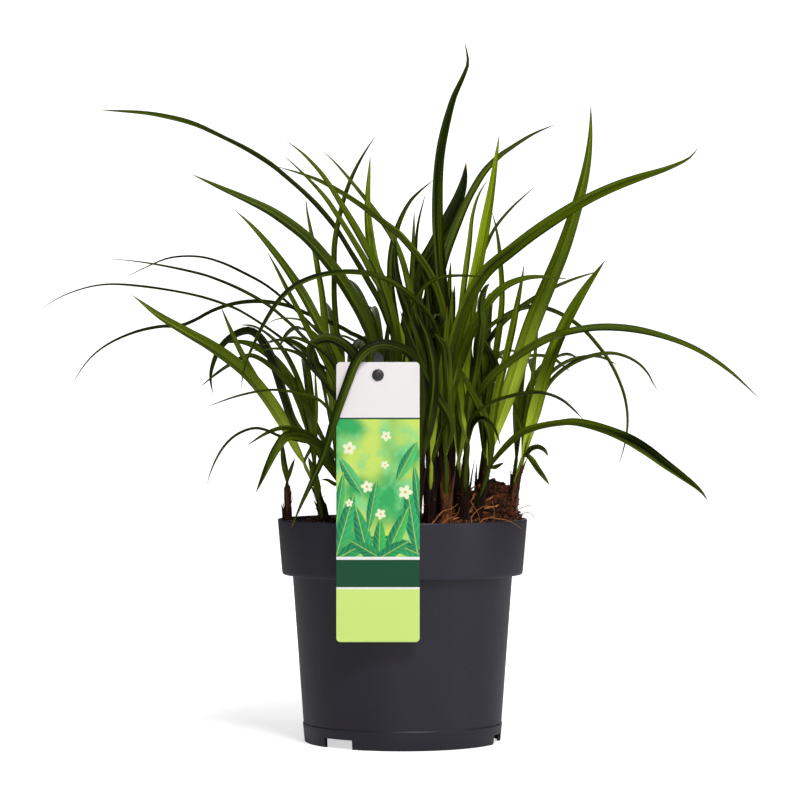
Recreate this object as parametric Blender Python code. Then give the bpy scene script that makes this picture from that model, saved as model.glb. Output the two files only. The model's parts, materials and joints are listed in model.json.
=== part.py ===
"""Carex sedge growing in a round nursery pot, with its plant label hung on a stake.

Lengths are in millimetres, and become metres where a mesh is made.
The pot's axis is the Z axis, the floor is z = 0 and the label is on the -Y side.
"""
import math
import random

import bmesh
import bpy
import numpy as np
from mathutils import Vector
from mathutils.kdtree import KDTree

MM = 0.001
GAP = 0.3

# Pot
POT_HEIGHT = 169.0
RIM_RADIUS = 95.0
BAND_FOOT_RADIUS = 91.6
BAND_FOOT = 127.0
BODY_TOP_RADIUS = 83.7
FOOT_RADIUS = 74.5
WALL = 1.5
BASE_HEIGHT = 8.0
CREASE_HEIGHT = 14.0
NOTCH_HEIGHT = 7.0
NOTCHES = ((219.0, 240.0), (336.6, 357.0), (98.0, 118.0))
DRAIN_HOLES = 8
DRAIN_RADIUS = 5.0
DRAIN_CIRCLE = 56.0
POT_SIDES = 36

# Compost
COMPOST_LEVEL = 166.0
MOUND_CENTRE = (70.0, 4.0)
MOUND_HEIGHT = 31.0
MOUND_SPREAD = 22.0
MOUND_EDGE = 92.0
MOUND_SLOPE = 12.0
MOUND_AT_WALL = 0.12
COMPOST_RINGS = 5
LUMPS = 1.0
SWELLS = 0.7
HOLE_ROOM = 0.5
HOLE_LENGTH = 60.0

# Label and stake
CARD_WIDTH = 60.9
CARD_FOOT = 82.5
CARD_TOP = 287.0
CARD_X = -18.0
CARD_BACK = -95.4
CARD_THICKNESS = 0.8
CARD_CORNER = 3.0
CARD_HOLE = (-18.0, 277.5)
CARD_HOLE_RADIUS = 3.2
STAKE_WIDTH = 8.0
STAKE_THICKNESS = 2.0
STAKE_FOOT = (-70.0, 60.0)
STAKE_TOP = (-94.2, 294.0)
KNOB_RADIUS = 4.3
KNOB_NECK = 2.8

# Shoots
EYE = (-1.9, 2300.0, 259.3)
CORE_RADIUS = 1.9
CORE_EXTRA = 0.4
MANY_LEAVES = 3
ROOT_WIDTH = 1.1
WIDEST_ROOT = 0.6
CORE_FLATNESS = 0.75
CORE_NARROWING = 0.25
CORE_SIDES = 6
CORE_DEPTH = 22.0
SHEATH_WALL = 0.65
SHEATH_SIDES = 6
SHEATH_DEPTH = 9.0
SHEATH_THINNING = 0.2
SHEATH_SLANT = 5.0
STEM_BELLY = 0.12
LEAF_ROOT = 0.55
BLADE_THICKNESS = 0.9
FOLD = 0.16
TAPER = 3.6
WIDENING = 0.2
FULL_UNTIL = 0.3
NARROWEST_HALF = 0.7
DEPTH_CURVE = 1.4
STATIONS = 64
RING_LENGTH = 120.0
RING_TURN = 31.0
FEWEST_RINGS = 5
MOST_RINGS = 9
CLEARANCE = 1.2
BEND_ROUNDS = 120
PAIR_ROUNDS = 12
PAIR_REACH = 22.0
FACE_REACH = 0.35
BEND_LENGTH = 26.0
HELD_LENGTH = 14.0
FREED_OVER = 34.0
BEND_SHARE = 0.8
LABEL_ROOM = 1.4
KNOB_ROOM = 3.0

# Unseen leaves
STEEPEST_RISE = 82.0
DROOPS = (70.0, 120.0)
UNSEEN_WIDTHS = (6.0, 9.0)
UNSEEN_TURN = 30.0
UNSEEN_STRAY = 8.0

# Each shoot: where it leaves the compost (x, y), the top of its stem (x, z), its height of brown sheath,
# and its leaves. A leaf: width, or width and taper; turns towards the front in degrees, evenly spaced from
# root to tip; depth y of its tip; and its points (x, z) as seen from the front, or (x, z, y), from the stem
# to the tip.
SHOOTS = {
    "left_edge": ((-87, -8), (-88, 197), 28, (
        (5, (80, 60), -14, ((-89, 203), (-91, 214), (-92, 229))),
        (4, (60, 30), -30, ((-86, 205), (-82, 215))),
    )),
    "left_low": ((-60, -46), (-64, 184), 9, (
        (6, (80, 60), -52, ((-66, 196), (-69, 207), (-72, 216))),
    )),
    "left_broad": ((-58, -28), (-75, 211), 38, (
        (11, (85, 60), -70, ((-81, 221), (-90, 240), (-100, 256.5), (-112, 272), (-125, 285), (-145, 299.5),
                             (-165, 311), (-185, 323), (-207, 340))),
        (6, (70, 60), -25, ((-82, 226), (-93, 245), (-104, 262), (-116, 282), (-126, 301), (-133, 317),
                            (-139, 332))),
        (4, (60, 40), -40, ((-69, 226), (-66, 252), (-67, 286))),
    )),
    "left_front": ((-42, -58), (-46, 194), 20, (
        (4, (60, 40), -62, ((-52, 195), (-57, 198), (-62, 198.8))),
        ((9, 3), (70, 50), -112, ((-58, 214), (-66, 227), (-78, 233), (-89, 232), (-97, 222), (-103, 210),
                                  (-108, 198), (-112, 188))),
        (6, (40, 30), -92, ((-58, 220), (-70, 231.5), (-82, 236.5), (-93, 237.3), (-105, 233),
                            (-119.5, 224))),
        (5, (20, 15), -124, ((-60, 222), (-78, 228), (-92, 231), (-104, 236.3), (-112, 237.8), (-120, 236),
                             (-129, 231), (-137, 222.5), (-143, 212), (-147, 202), (-149.3, 193))),
        (5, (20, 12), -135, ((-50, 238), (-62, 258), (-80, 264.5), (-97, 267), (-112, 265.5), (-130, 261),
                             (-152, 253))),
    )),
    "left_inner": ((-40, 0), (-50, 214), 26, (
        (9, (60, 40), 28, ((-80, 236), (-91, 262), (-98, 284), (-105, 300), (-112, 309), (-119, 311.5),
                           (-130, 307), (-139, 298), (-144.5, 285), (-146, 275), (-144.3, 263))),
        (7, (60, 40), -38, ((-60, 228), (-68, 243), (-77, 258), (-87, 271), (-98, 282.5), (-108, 290),
                            (-117, 293), (-128, 288), (-140, 280.5), (-155, 268.5))),
        (6, (70, 60), 60, ((-54, 270), (-58, 310), (-61, 340), (-64, 358), (-67, 375), (-70, 390),
                           (-72.5, 403), (-74, 416))),
        (6, (50, 25), 30, ((-66, 292), (-80, 311.5), (-90, 321), (-100, 329.5), (-110, 336), (-125, 344),
                           (-140, 350.5), (-155, 355.5), (-185, 362), (-208, 365.5), (-228, 367))),
    )),
    "tag_left": ((-30, -62), (-32, 206), 24, (
        (10, (55, 55), -88, ((-31, 262), (-37, 292), (-50, 304), (-63, 305), (-70, 297), (-66, 283),
                             (-52, 266))),
        (6, (50, 30), -96, ((-42, 245), (-58, 270), (-70, 284), (-79, 294), (-95, 298.3), (-118, 296))),
        (6, (30, 20), -130, ((-40, 250), (-55, 290), (-78, 305.5), (-92, 305.5), (-107, 301))),
        (3, (50, 40), -60, ((-45, 270), (-60, 308), (-75, 319), (-88, 321.5), (-98, 320), (-107, 314))),
    )),
    "left_tall": ((-26, 22), (-30, 222), 28, (
        (10, (80, 60), 18, ((-26, 262), (-22, 300), (-29, 320), (-40, 340), (-50, 355.5), (-60, 368),
                            (-70, 379.5), (-80, 388.5), (-100, 402.5), (-120, 412.5), (-140, 421.5),
                            (-162, 432))),
        (8, (75, 60), 0, ((-45, 280), (-56, 302), (-66, 321), (-75, 338), (-85, 354), (-95, 368),
                          (-107, 383), (-117, 394), (-129, 405))),
        (6, (60, 50), -30, ((-52, 275), (-65, 300), (-73, 314), (-80, 328), (-88, 343), (-96, 359),
                            (-104, 374))),
        (6, (30, 60), 40, ((-46, 290), (-51, 330), (-51.5, 360), (-51, 380), (-46.5, 404), (-40, 425),
                           (-31, 444), (-19, 463))),
    )),
    "left_reach": ((-12, 50), (-14, 220), 26, (
        (9, (60, 25, 6, 10, 80), 75, ((-2, 280), (-14, 325), (-28, 352), (-39, 371), (-50, 389), (-60, 401.5),
                               (-70, 412.5), (-80, 422), (-90, 430.5), (-100, 438.5), (-120, 451),
                               (-140, 461), (-160, 469.5), (-180, 475), (-200, 478.3), (-233, 480.5))),
        (6, (30, 15), 120, ((-40, 280), (-62, 308), (-85, 331), (-103, 346), (-120, 355.5), (-138, 364),
                            (-155, 368.5), (-175, 368), (-190, 363), (-217, 350))),
        (5, (25, 18), -60, ((-50, 275), (-80, 297), (-100, 312), (-115, 322), (-130, 330), (-160, 339.5),
                            (-200, 346), (-230, 347), (-258, 339), (-281, 325))),
        (7, (40, 15), -18, ((-25, 298), (-40, 310), (-55, 318), (-70, 323.5), (-85, 330), (-100, 333.3),
                            (-115, 334), (-130, 332), (-145, 327), (-158, 320), (-170, 315.5),
                            (-185, 315), (-205, 310.5), (-225, 301.5), (-240, 289), (-254, 268))),
    )),
    "crown_left": ((-8, -2), (-10, 224), 28, (
        (7, (70, 50), -60, ((-4, 300), (-16, 350), (-30, 379), (-45, 405), (-60, 429), (-75, 446),
                            (-90, 458))),
        (6, (60, 50), -25, ((-8, 320), (-26, 360), (-38, 381), (-50, 400), (-60, 414.5), (-76, 432),
                            (-92, 447))),
        (9, (80, 60), 5, ((0, 290), (-12, 332), (-22, 364), (-25.5, 385), (-27, 410), (-24.5, 447))),
        (6, (60, 50), 30, ((10, 300), (3, 352), (-6, 379), (-20, 401), (-35, 420.5), (-50, 438.5),
                           (-62, 450.5))),
    )),
    "tag_over": ((10, -66), (14, 212), 26, (
        (9, (75, 70), -116, ((14, 262, -68), (9, 290, -80), (-5, 300, -98), (-20, 301, -105),
                             (-33, 292, -107), (-42, 271, -108), (-53, 240, -109), (-59, 219, -110),
                             (-66, 203, -111), (-76.5, 181, -114), (-85, 161, -116))),
        (7, (60, 40), -60, ((20, 250), (12, 300), (3, 330))),
        (8, (80, 60), -86, ((20, 240), (24, 275), (19, 306), (8, 331))),
    )),
    "crown_back": ((10, 38), (10, 226), 26, (
        (7, (75, 50), 60, ((0, 290), (-8, 341), (-8, 370), (-3, 392), (5, 409), (13, 418), (25, 428))),
        (6, (70, 60), 34, ((5, 290), (6, 331), (8, 380), (9, 405))),
        ((13, 6), (85, 80), 70, ((4, 300), (12, 350), (25, 376), (36, 398), (43, 413), (47, 427),
                                 (48.5, 441))),
        (4, (60, 60), 110, ((10, 320), (11, 385), (18, 419))),
    )),
    "centre": ((20, -28), (22, 222), 28, (
        (7, (30, 25), -200, ((28, 290), (22, 320), (0, 343), (-20, 353.5), (-40, 356.5), (-60, 354.5),
                             (-75, 349.5), (-85, 343.5), (-95, 333.5), (-105, 318), (-113, 302),
                             (-119, 288), (-122, 276), (-122.5, 264))),
        (7, (40, 25), -90, ((6, 300), (9, 330), (14, 342), (22, 349.5), (32, 353), (45, 354), (65, 353))),
        (9, (72, 58), -62, ((16, 263), (12, 301), (-4, 350), (-6, 386))),
    )),
    "red_base": ((33, -50), (33, 218), 44, (
        ((9.5, 4), (80, 75), -105, ((33, 260), (40, 302), (50, 334), (64, 357), (82, 372), (100, 386),
                                   (120, 399.5), (140, 411.5), (160, 421), (180, 428.5), (200, 435),
                                   (216, 442), (222, 447), (226, 453))),
        (11, (75, 20), -72, ((38, 268), (50, 304), (62, 327), (75, 342.5), (90, 350.5), (105, 353),
                             (127, 351.5))),
        (7, (70, 60), -92, ((37, 241), (25, 264), (10, 293), (-2, 328))),
    )),
    "tallest": ((27, 12), (30, 230), 28, (
        (9, (80, 70), 14, ((35, 300), (30, 350), (27, 400), (29, 446), (38, 486), (46.5, 506), (50, 517),
                           (47, 534))),
        (8, (70, 50), 85, ((25, 300), (30, 356), (45, 400), (60, 429), (72, 443), (84, 452), (100, 462),
                           (118, 470))),
        (7, (60, 40), -34, ((32, 310), (22, 352), (0, 382), (-14, 393.5), (-30, 406), (-50, 419),
                            (-70, 429), (-98, 438))),
        (9, (80, 60), 40, ((24, 280), (22, 330), (26, 372), (32, 402))),
    )),
    "bright": ((43, -16), (43, 214), 30, (
        (10, (85, 60), 12, ((42, 240), (46, 276), (52, 330), (59, 368), (64, 395), (69, 425), (74, 463))),
        (6, (60, 50), 40, ((40, 270), (46, 335), (49, 360), (51.5, 380), (53.5, 399), (58, 415),
                           (66, 429))),
        (8, (70, 50), -30, ((46, 250), (36, 300), (38, 345))),
    )),
    "dark_base": ((45.5, -36), (50, 226), 50, (
        (8, (50, 40), -4, ((52, 250), (66, 274, -50), (82, 288, -54), (97, 298, -56), (112, 306, -55),
                           (128, 311), (150, 314), (175, 312.7), (200, 307), (225, 297), (250, 280.5),
                           (274, 258.5))),
        (5, (20, 15), -190, ((52, 244), (66, 256), (82, 262), (100, 265), (112, 263.5), (122, 259),
                             (131, 251.5), (139, 243))),
        (5, (30, 20), -80, ((53, 238), (60, 245), (69, 239), (75, 224))),
        (8, (70, 60), -62, ((46, 245), (42, 285), (44, 318))),
    )),
    "right_back": ((60, 30), (62, 222), 26, (
        (6, (50, 40), 100, ((58, 290), (66, 304), (76, 317), (88, 327.5), (100, 336), (115, 344.5),
                            (130, 351), (145, 356), (152, 358))),
        (6, (25, 30), 60, ((56, 300), (66, 314), (76, 321.5), (88, 327.7), (100, 330), (112, 328),
                           (125, 322), (138, 312.5), (148, 301.5), (157, 289.5), (164, 276), (169, 262),
                           (171.3, 247), (170.5, 232), (167, 217), (163.5, 207))),
        (6, (60, 50), 48, ((68, 270), (76, 330), (75, 365), (72, 388), (68, 404))),
        (5, (40, 40), 140, ((50, 330), (66, 381), (80, 402), (103, 424))),
        (8, (60, 50), 30, ((74, 262), (66, 296), (48, 318))),
    )),
    "right_broad": ((62, -4), (65, 214), 18, (
        ((13, 2.4), (85, 75), -22, ((70, 232), (80, 262), (90, 292), (99.5, 320), (112, 350),
                                    (122, 374.5), (130.5, 400), (137.5, 425), (141.5, 446),
                                    (143.3, 466), (143.5, 486))),
        (7, (60, 50), -8, ((72, 262), (79, 290), (84, 312), (88, 333), (91, 350), (93, 364))),
        (6, (60, 60), 14, ((64, 222), (62, 226))),
    )),
    "right_low": ((57, -34), (66, 207), 20, (
        ((9, 4), (60, 20, 80, 80), -165, ((77, 221), (90, 233), (103, 238), (118, 241), (132, 241.5),
                                          (150, 237.5), (170, 230), (185, 221.5), (200, 210.5),
                                          (220, 196), (228, 189), (233, 182))),
        (4, (50, 50), -44, ((71, 208), (77.5, 211.5))),
        (8, (50, 40), -60, ((66, 234), (54, 262), (40, 290))),
    )),
    "right_edge": ((84, -10), (92, 216), 31, (
        (10, (85, 70), -24, ((95, 228), (98, 240), (103.5, 260), (109, 280), (116, 299), (124, 317),
                             (132, 332), (141, 346.5), (149, 358), (155, 366.5))),
        (6, (25, 20), 30, ((97, 236), (104, 255), (111, 270), (120, 280), (133, 288.5), (147, 293.3),
                           (159, 294.8), (170, 292.5), (180, 287), (187, 279.5), (191, 272),
                           (196, 264.5))),
        (5, (50, 40), -52, ((94, 217), (98, 221.5), (103, 223), (107.5, 221), (111, 216.5))),
        (6, (60, 40), -34, ((96, 216), (103, 206), (112, 194.5))),
        (5, (50, 40), 26, ((94, 240), (98, 262), (100.5, 285), (103.5, 316))),
        (5, (50, 40), 10, ((93, 232), (90, 243), (83, 261))),
    )),
    "core_front": ((21, -50), (22, 212), 32, (
        (9, (70, 60), -72, ((22, 240), (27, 275), (32, 306), (34, 330))),
        (7, (60, 50), -58, ((19, 236), (13, 266), (12, 298))),
        (5, (50, 40), -64, ((27, 228), (33, 246))),
    )),
    "core_middle": ((32, -10), (32, 214), 30, (
        (9, (75, 65), -12, ((31, 240), (33, 285), (38, 325), (40, 348))),
        (8, (60, 50), 2, ((28, 240), (20, 285), (15, 325), (12, 350))),
    )),
    "core_back": ((37, 36), (38, 216), 28, (
        (9, (70, 60), 48, ((39, 240), (45, 285), (50, 325), (52, 345))),
        (8, (65, 55), 40, ((34, 240), (30, 290), (24, 330), (20, 352))),
    )),
    "back_left": ((-44, 46), (-46, 212), 26, ()),
    "back_middle": ((4, 74), (3, 214), 26, ()),
    "back_right": ((46, 62), (48, 212), 26, ()),
    "far_left": ((-62, 30), (-67, 208), 24, ()),
    "far_right": ((84, 16), (87, 216), 22, ()),
}

# Leaves on the sides that the front doesn't show: shoot, number, middle and spread of their compass
# direction in degrees from +X towards +Y, and their shortest and longest length.
UNSEEN = (
    ("back_left", 5, 105, 32, 170, 225),
    ("back_middle", 5, 90, 40, 140, 172),
    ("back_right", 5, 78, 32, 160, 210),
    ("far_left", 3, 115, 30, 140, 190),
    ("far_right", 3, 65, 30, 140, 190),
    ("crown_back", 2, 90, 24, 170, 230),
    ("left_reach", 2, 100, 24, 160, 220),
    ("right_back", 1, 80, 20, 170, 220),
    ("tallest", 1, 275, 20, 150, 200),
    ("dark_base", 1, 280, 20, 140, 180),
    ("red_base", 1, 265, 20, 130, 170),
    ("left_tall", 1, 95, 25, 160, 210),
)

GREEN = (0.075, 0.135, 0.012)
SHEATH_BROWN = (0.085, 0.035, 0.022)


def clear_scene():
    for obj in list(bpy.data.objects):
        bpy.data.objects.remove(obj, do_unlink=True)


def material(name, colour, roughness, metallic=0.0):
    mat = bpy.data.materials.new(name)
    mat.use_nodes = True
    shader = mat.node_tree.nodes["Principled BSDF"]
    shader.inputs["Base Color"].default_value = (*colour, 1.0)
    shader.inputs["Roughness"].default_value = roughness
    shader.inputs["Metallic"].default_value = metallic
    return mat


def link(name, mesh, mat, collection=None):
    obj = bpy.data.objects.new(name, mesh)
    mesh.materials.clear()
    mesh.materials.append(mat)
    (collection or bpy.context.scene.collection).objects.link(obj)
    return obj


def mesh_of(bm, name):
    """Finishes a mesh that was made in millimetres."""
    bmesh.ops.recalc_face_normals(bm, faces=bm.faces)
    bmesh.ops.scale(bm, vec=(MM, MM, MM), verts=bm.verts)
    mesh = bpy.data.meshes.new(name)
    bm.to_mesh(mesh)
    bm.free()
    return mesh


def smooth(mesh, angle=40.0):
    mesh.shade_smooth()
    mesh.set_sharp_from_angle(angle=math.radians(angle))


def ease(value):
    t = min(max(value, 0.0), 1.0)
    return t * t * (3.0 - 2.0 * t)


def turned(profile, sides):
    """A closed solid from an (r, z) outline turned about Z. Both ends of the outline are on the axis."""
    bm = bmesh.new()
    rings = []
    for radius, z in profile:
        if radius < 1e-6:
            rings.append([bm.verts.new((0.0, 0.0, z))])
            continue
        ring = []
        for k in range(sides):
            angle = 2.0 * math.pi * k / sides
            ring.append(bm.verts.new((radius * math.cos(angle), radius * math.sin(angle), z)))
        rings.append(ring)
    for low, high in zip(rings, rings[1:]):
        for k in range(sides):
            a, b = k, (k + 1) % sides
            corners = [low[a % len(low)], low[b % len(low)], high[b % len(high)], high[a % len(high)]]
            bm.faces.new(list(dict.fromkeys(corners)))
    return bm


def outer_radius(z):
    """Radius of the pot's outside below the band, or of the band."""
    if z >= BAND_FOOT:
        t = (z - BAND_FOOT) / (POT_HEIGHT - BAND_FOOT)
        return BAND_FOOT_RADIUS + t * (RIM_RADIUS - BAND_FOOT_RADIUS)
    return FOOT_RADIUS + (BODY_TOP_RADIUS - FOOT_RADIUS) * z / BAND_FOOT


def cutter(name, bm):
    obj = link(name, mesh_of(bm, name), material(name, (0.5, 0.5, 0.5), 0.5))
    obj.hide_render = True
    obj.display_type = "WIRE"
    return obj


def wedge(start, end, height, inner, outer):
    """A block over an arc of the foot ring, for a notch."""
    bm = bmesh.new()
    steps = 6
    rings = []
    for k in range(steps + 1):
        angle = math.radians(start + (end - start) * k / steps)
        c, s = math.cos(angle), math.sin(angle)
        ring = [(inner, -1.0), (outer, -1.0), (outer, height), (inner, height)]
        rings.append([bm.verts.new((r * c, r * s, z)) for r, z in ring])
    for a, b in zip(rings, rings[1:]):
        for k in range(4):
            n = (k + 1) % 4
            bm.faces.new((a[k], a[n], b[n], b[k]))
    bm.faces.new(rings[0])
    bm.faces.new(rings[-1])
    return bm


def make_pot():
    lip, rim_round, band_round, foot_slope, draft = 1.2, 0.5, 1.6, 0.4, 1.0
    inner_step = BAND_FOOT + WALL
    profile = [
        (0.0, BASE_HEIGHT),
        (FOOT_RADIUS - WALL - foot_slope, BASE_HEIGHT),
        (FOOT_RADIUS - WALL - draft, 0.0),
        (FOOT_RADIUS, 0.0),
        (outer_radius(CREASE_HEIGHT) + foot_slope, CREASE_HEIGHT),
        (BODY_TOP_RADIUS, BAND_FOOT),
        (BAND_FOOT_RADIUS - lip, BAND_FOOT),
        (outer_radius(BAND_FOOT + band_round), BAND_FOOT + band_round),
        (RIM_RADIUS, POT_HEIGHT - lip),
        (RIM_RADIUS - rim_round, POT_HEIGHT),
        (RIM_RADIUS - WALL, POT_HEIGHT),
        (BAND_FOOT_RADIUS - WALL, inner_step),
        (BODY_TOP_RADIUS - WALL, inner_step),
        (FOOT_RADIUS - WALL + draft, BASE_HEIGHT + WALL),
        (0.0, BASE_HEIGHT + WALL),
    ]
    mesh = mesh_of(turned(profile, POT_SIDES), "pot")
    pot = link("pot", mesh, material("pot_plastic", (0.042, 0.041, 0.048), 0.42))
    cutters = []
    for start, end in NOTCHES:
        bm = wedge(start, end, NOTCH_HEIGHT, FOOT_RADIUS - 8.0, FOOT_RADIUS + 4.0)
        cutters.append(cutter("notch", bm))
    for k in range(DRAIN_HOLES):
        angle = 2.0 * math.pi * (k + 0.5) / DRAIN_HOLES
        bm = bmesh.new()
        bmesh.ops.create_cone(bm, cap_ends=True, segments=12, radius1=DRAIN_RADIUS, radius2=DRAIN_RADIUS,
                              depth=12.0)
        place = (DRAIN_CIRCLE * math.cos(angle), DRAIN_CIRCLE * math.sin(angle), BASE_HEIGHT)
        bmesh.ops.translate(bm, vec=place, verts=bm.verts)
        cutters.append(cutter("drain", bm))
    cut_away(pot, cutters)
    smooth(pot.data, 30.0)
    return pot


def cut_away(obj, cutters):
    """Cuts all of the cutters out of the object at once, and removes them."""
    joined(obj, cutters, "DIFFERENCE", "EXACT")


def joined(obj, others, operation, solver):
    """One applied Boolean of a collection on the object. The collection's objects are then removed."""
    group = bpy.data.collections.new("operands")
    bpy.context.scene.collection.children.link(group)
    for other in others:
        group.objects.link(other)
    mod = obj.modifiers.new("Boolean", "BOOLEAN")
    mod.operation = operation
    mod.operand_type = "COLLECTION"
    mod.collection = group
    mod.solver = solver
    graph = bpy.context.evaluated_depsgraph_get()
    graph.update()
    result = bpy.data.meshes.new_from_object(obj.evaluated_get(graph))
    obj.modifiers.clear()
    old = obj.data
    mats = list(old.materials)
    obj.data = result
    result.materials.clear()
    result.materials.append(mats[0])
    bpy.data.meshes.remove(old)
    if operation == "UNION":
        keep_outer_body(result)
    for other in others:
        bpy.data.objects.remove(other, do_unlink=True)
    bpy.data.collections.remove(group)


def keep_outer_body(mesh):
    """Fills the small hollows that leaves seal between them, and drops loose scraps."""
    bm = bmesh.new()
    bm.from_mesh(mesh)
    bmesh.ops.triangulate(bm, faces=bm.faces)
    left = set(bm.faces)
    skins = []
    while left:
        skin = [left.pop()]
        for face in skin:
            for edge in face.edges:
                for other in edge.link_faces:
                    if other in left:
                        left.remove(other)
                        skin.append(other)
        skins.append(skin)
    skins.sort(key=len)
    scraps = [face for skin in skins[:-1] for face in skin]
    bmesh.ops.delete(bm, geom=scraps, context="FACES")
    bm.to_mesh(mesh)
    bm.free()


def ground(x, y):
    """Height of the compost: nearly level, with a mound at the right and low lumps."""
    dx, dy = x - MOUND_CENTRE[0], y - MOUND_CENTRE[1]
    mound = MOUND_HEIGHT * math.exp(-(dx * dx + dy * dy) / (2.0 * MOUND_SPREAD ** 2))
    lumps = LUMPS * math.sin(x * 0.21 + 1.0) * math.cos(y * 0.19) + SWELLS * math.sin(x * 0.09 - y * 0.13)
    edge = ease((MOUND_EDGE - math.hypot(x, y)) / MOUND_SLOPE)
    return COMPOST_LEVEL + lumps + mound * (MOUND_AT_WALL + (1.0 - MOUND_AT_WALL) * edge)


def make_compost(shoots):
    bm = bmesh.new()
    inner_step = BAND_FOOT + WALL + GAP
    low = BASE_HEIGHT + WALL + GAP
    sides = POT_SIDES
    wall = [
        (FOOT_RADIUS - WALL + 1.0 - GAP, low),
        (BODY_TOP_RADIUS - WALL - GAP, inner_step),
        (BAND_FOOT_RADIUS - WALL - GAP, inner_step),
    ]
    top_radius = outer_radius(COMPOST_LEVEL - 2.0) - WALL - 0.4 - GAP
    rings = []
    for radius, z in wall:
        ring = []
        for k in range(sides):
            a = 2.0 * math.pi * k / sides
            ring.append(bm.verts.new((radius * math.cos(a), radius * math.sin(a), z)))
        rings.append(ring)
    for step in range(COMPOST_RINGS):
        radius = top_radius * (1.0 - step / COMPOST_RINGS)
        ring = []
        for k in range(sides):
            a = 2.0 * math.pi * k / sides
            x, y = radius * math.cos(a), radius * math.sin(a)
            ring.append(bm.verts.new((x, y, ground(x, y))))
        rings.append(ring)
    for a, b in zip(rings, rings[1:]):
        for k in range(sides):
            n = (k + 1) % sides
            bm.faces.new((a[k], a[n], b[n]))
            bm.faces.new((a[k], b[n], b[k]))
    centre = bm.verts.new((0.0, 0.0, ground(0.0, 0.0)))
    floor = bm.verts.new((0.0, 0.0, low))
    for k in range(sides):
        n = (k + 1) % sides
        bm.faces.new((rings[-1][k], rings[-1][n], centre))
        bm.faces.new((rings[0][n], rings[0][k], floor))
    compost = link("compost", mesh_of(bm, "compost"), material("compost", (0.06, 0.024, 0.014), 0.95))
    cutters = []
    for shoot in shoots:
        x, y = shoot["foot"]
        bm = bmesh.new()
        radius = (sheath_bore(shoot) + SHEATH_WALL + GAP) / math.cos(math.pi / SHEATH_SIDES) + HOLE_ROOM
        floor_z = shoot["ground"] - CORE_DEPTH - 1.0
        bmesh.ops.create_cone(bm, cap_ends=True, segments=SHEATH_SIDES, radius1=radius, radius2=radius,
                              depth=HOLE_LENGTH)
        bmesh.ops.translate(bm, vec=(x, y, floor_z + HOLE_LENGTH / 2.0), verts=bm.verts)
        cutters.append(cutter("stem_hole", bm))
    cutters.append(cutter("stake_slot", stake_slot()))
    cut_away(compost, cutters)
    smooth(compost.data, 60.0)
    return compost


def stake_y(z):
    t = (z - STAKE_FOOT[1]) / (STAKE_TOP[1] - STAKE_FOOT[1])
    return STAKE_FOOT[0] + t * (STAKE_TOP[0] - STAKE_FOOT[0])


def stake_slot():
    """The slot in the compost that the stake stands in."""
    bm = bmesh.new()
    half = STAKE_WIDTH / 2.0 + GAP
    rings = []
    for z in (STAKE_FOOT[1] - GAP, POT_HEIGHT + 5.0):
        near = stake_y(z) - STAKE_THICKNESS / 2.0 - GAP
        far = stake_y(z) + STAKE_THICKNESS / 2.0 + GAP
        corners = ((-half, near), (half, near), (half, far), (-half, far))
        rings.append([bm.verts.new((CARD_X + x, y, z)) for x, y in corners])
    for k in range(4):
        n = (k + 1) % 4
        bm.faces.new((rings[0][k], rings[0][n], rings[1][n], rings[1][k]))
    bm.faces.new(rings[0])
    bm.faces.new(rings[1])
    return bm


def rounded_card(bm, y):
    """The card's outline at depth y, with rounded corners, anticlockwise seen from the front."""
    corners = []
    half = CARD_WIDTH / 2.0
    middles = (
        (CARD_X + half - CARD_CORNER, CARD_FOOT + CARD_CORNER, -90),
        (CARD_X + half - CARD_CORNER, CARD_TOP - CARD_CORNER, 0),
        (CARD_X - half + CARD_CORNER, CARD_TOP - CARD_CORNER, 90),
        (CARD_X - half + CARD_CORNER, CARD_FOOT + CARD_CORNER, 180),
    )
    for x, z, first in middles:
        for k in range(4):
            angle = math.radians(first + 30.0 * k)
            corners.append((x + CARD_CORNER * math.cos(angle), y, z + CARD_CORNER * math.sin(angle)))
    return [bm.verts.new(c) for c in corners]


def make_tag():
    bm = bmesh.new()
    back = rounded_card(bm, CARD_BACK)
    front = rounded_card(bm, CARD_BACK - CARD_THICKNESS)
    for k in range(len(back)):
        n = (k + 1) % len(back)
        bm.faces.new((back[k], back[n], front[n], front[k]))
    bm.faces.new(back)
    bm.faces.new(front)
    tag = link("tag", mesh_of(bm, "tag"), material("tag_card", (0.85, 0.84, 0.82), 0.4))
    cut_away(tag, [cutter("tag_hole", rod(CARD_HOLE_RADIUS, CARD_BACK - 4.0, CARD_BACK + 4.0, 20))])
    return tag


def rod(radius, y_from, y_to, sides):
    """A round rod along Y through the card's hole."""
    bm = bmesh.new()
    bmesh.ops.create_cone(bm, cap_ends=True, segments=sides, radius1=radius, radius2=radius,
                          depth=abs(y_to - y_from))
    turn = Vector((0.0, 0.0, 1.0)).rotation_difference(Vector((0.0, 1.0, 0.0))).to_matrix()
    bmesh.ops.rotate(bm, matrix=turn, verts=bm.verts)
    mid = (y_from + y_to) / 2.0
    bmesh.ops.translate(bm, vec=(CARD_HOLE[0], mid, CARD_HOLE[1]), verts=bm.verts)
    return bm


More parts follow.
